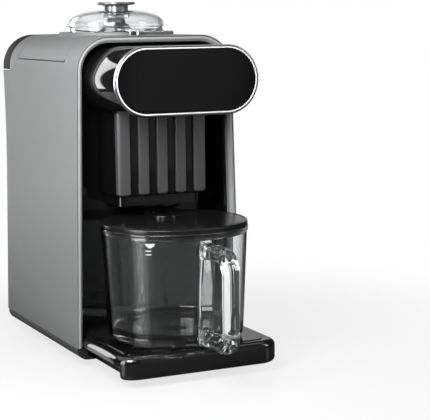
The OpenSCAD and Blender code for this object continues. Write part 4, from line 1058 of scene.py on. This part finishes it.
# 1 for rays from the camera that have at most gone through clear things, 0 once they were thrown back
def straightRays(tree, rays):
    thrown = mathNode(tree, "ADD", rays.outputs["Glossy Depth"], rays.outputs["Diffuse Depth"])
    through = mathNode(tree, "SUBTRACT", rays.outputs["Is Transmission Ray"], thrown, use_clamp=True)
    return mathNode(tree, "MAXIMUM", rays.outputs["Is Camera Ray"], through)


paper = {
    "radius": 0.95,  # metres
    "points": 96,
    "white": (0.86, 0.86, 0.86, 1),
    "mirrored": (0.1, 0.1, 0.1, 1),  # as other surfaces mirror it: painted shade, so the floor shows darker in reflections than it is
    "fade": (0.22, 0.62),  # metres from the middle
    "glow": 0.75,  # share of plain white near the object; it grows to 1 past the fade
}


# White where it is seen past the object, real near the object, so that it takes the shadow
def makeFloor(p):
    angle = np.linspace(0, 2 * math.pi, p["points"], endpoint=False)
    mesh = bpy.data.meshes.new("floor")
    spots = [(p["radius"] * math.cos(a), p["radius"] * math.sin(a), 0) for a in angle]
    mesh.from_pydata(spots, [], [list(range(p["points"]))])
    floor = bpy.data.objects.new("floor", mesh)
    scene.collection.objects.link(floor)
    material, tree, shader = newMaterial("floorPaper")
    link = tree.links.new
    shader.inputs["Roughness"].default_value = 0.3
    glow = addNode(tree, "ShaderNodeEmission", {"Color": (1, 1, 1, 1), "Strength": 1.0})
    place = addNode(tree, "ShaderNodeTexCoord")
    away = addNode(tree, "ShaderNodeVectorMath", operation="LENGTH")
    link(place.outputs["Object"], away.inputs[0])
    fade = addNode(tree, "ShaderNodeMapRange", dict(zip(("From Min", "From Max"), p["fade"])),
                   interpolation_type="SMOOTHSTEP")
    link(away.outputs["Value"], fade.inputs["Value"])
    rays = addNode(tree, "ShaderNodeLightPath")
    # For rays thrown back by mirrors the floor's colour drops to the painted shade
    tone = addNode(tree, "ShaderNodeMix", {"A": p["white"], "B": p["mirrored"]}, data_type="RGBA")
    link(mathNode(tree, "ADD", rays.outputs["Glossy Depth"], 0.0, use_clamp=True), tone.inputs["Factor"])
    link(tone.outputs["Result"], shader.inputs["Base Color"])
    lifted = mathNode(tree, "MULTIPLY_ADD", fade.outputs[0], 1 - p["glow"], p["glow"])
    mix = addNode(tree, "ShaderNodeMixShader")
    link(mathNode(tree, "MULTIPLY", lifted, straightRays(tree, rays)), mix.inputs[0])
    link(shader.outputs[0], mix.inputs[1])
    link(glow.outputs[0], mix.inputs[2])
    link(mix.outputs[0], tree.nodes["Material Output"].inputs[0])
    mesh.materials.append(material)


# A window of light in the world: 1 inside its angles, 0 outside, with soft edges
def makeWindow():
    group, given, made = newGroup("lightWindow", [
        ("Direction", "NodeSocketVector", None), ("Azimuth", "NodeSocketFloat", 0.0),
        ("Half Width", "NodeSocketFloat", 10.0), ("Elevation", "NodeSocketFloat", 0.0),
        ("Half Height", "NodeSocketFloat", 10.0), ("Edge", "NodeSocketFloat", 1.0)],
        [("Mask", "NodeSocketFloat")])
    link = group.links.new
    parts = addNode(group, "ShaderNodeSeparateXYZ")
    link(given.outputs["Direction"], parts.inputs[0])
    across = mathNode(group, "ARCTAN2", parts.outputs["X"], parts.outputs["Y"])
    upward = mathNode(group, "ARCSINE", parts.outputs["Z"])
    masks = []
    for angle, centre, half in ((across, "Azimuth", "Half Width"), (upward, "Elevation", "Half Height")):
        degrees = mathNode(group, "DEGREES", angle)
        off = mathNode(group, "SUBTRACT", degrees, given.outputs[centre])
        room = mathNode(group, "SUBTRACT", given.outputs[half], mathNode(group, "ABSOLUTE", off))
        masks.append(mathNode(group, "DIVIDE", room, given.outputs["Edge"], use_clamp=True))
    link(mathNode(group, "MULTIPLY", *masks), made.inputs["Mask"])
    return group


# As name: azimuth and half width, elevation and half height, edge, strength. Azimuths run from the back
# towards the right, all in degrees; the strength is added for mirror-like rays.
windows = {
    "stripBox": (-15.5, 10.5, 6, 18.3, 0.6, 4.2),
    "upperBox": (-40, 60, 58, 30, 12, 1.1),
    "frontRight": (154, 18, 8, 40, 12, 0.22),
    "leftWall": (-98, 14, 12, 28, 5, 8.0),
    "frontTop": (-130, 45, 52, 14, 4, 2.6),
    "backGlow": (22, 22, 10, 14, 4, 0.55),
}


# Lamps light the object, rays that mirrors throw back see the windows, and straight ones see white
def makeWorld():
    world = bpy.data.worlds.new("studio")
    scene.world = world
    world.use_nodes = True
    tree = world.node_tree
    tree.nodes.clear()
    link = tree.links.new
    out = addNode(tree, "ShaderNodeOutputWorld")
    rays = addNode(tree, "ShaderNodeLightPath")
    place = addNode(tree, "ShaderNodeTexCoord")
    window = makeWindow()
    base = addNode(tree, "ShaderNodeMapRange", {"From Max": 2.0, "To Min": 0.035, "To Max": 0.36})
    link(rays.outputs["Transmission Depth"], base.inputs["Value"])
    total = base.outputs[0]
    for name, (*angles, strength) in windows.items():
        keys = ("Azimuth", "Half Width", "Elevation", "Half Height", "Edge")
        box = addNode(tree, "ShaderNodeGroup", node_tree=window, label=name)
        setInputs(box, dict(zip(keys, angles)))
        link(place.outputs["Generated"], box.inputs["Direction"])
        total = mathNode(tree, "MULTIPLY_ADD", box.outputs["Mask"], strength, total)
    soft = addNode(tree, "ShaderNodeBackground", {"Color": (1, 1, 1, 1), "Strength": 0.22})
    shine = addNode(tree, "ShaderNodeBackground", {"Color": (1, 1, 1, 1)})
    link(total, shine.inputs["Strength"])
    white = addNode(tree, "ShaderNodeBackground", {"Color": (1, 1, 1, 1), "Strength": 1.0})
    mirrored = mathNode(tree, "SUBTRACT", rays.outputs["Is Glossy Ray"], rays.outputs["Diffuse Depth"],
                        use_clamp=True)
    first = addNode(tree, "ShaderNodeMixShader")
    link(mirrored, first.inputs[0])
    link(soft.outputs[0], first.inputs[1])
    link(shine.outputs[0], first.inputs[2])
    second = addNode(tree, "ShaderNodeMixShader")
    link(straightRays(tree, rays), second.inputs[0])
    link(first.outputs[0], second.inputs[1])
    link(white.outputs[0], second.inputs[2])
    link(second.outputs[0], out.inputs[0])


# Places in metres, in the frame's own axes
lamps = {
    "topBox": {"place": (0.25, -0.1, 1.5), "aim": (0, 0, 0.1), "size": (1.2, 1.2), "power": 4},
    "sideBox": {"place": (-0.34, -0.36, 0.46), "aim": (-0.09, -0.03, 0.24), "size": (0.25, 0.35),
                "power": 4.2},
    "rightBox": {"place": (1.1, -0.9, 0.8), "aim": (0, 0, 0.2), "size": (0.5, 0.9), "power": 5},
}


def makeLamp(name, l):
    data = bpy.data.lights.new(name, "AREA")
    data.energy = l["power"]
    data.shape = "RECTANGLE"
    data.size, data.size_y = l["size"]
    lamp = bpy.data.objects.new(name, data)
    lamp.location = l["place"]
    lamp.rotation_euler = (Vector(l["aim"]) - Vector(l["place"])).to_track_quat("-Z", "Y").to_euler()
    scene.collection.objects.link(lamp)


makeFloor(paper)
makeWorld()
for name, l in lamps.items():
    makeLamp(name, l)
print("stage ready")
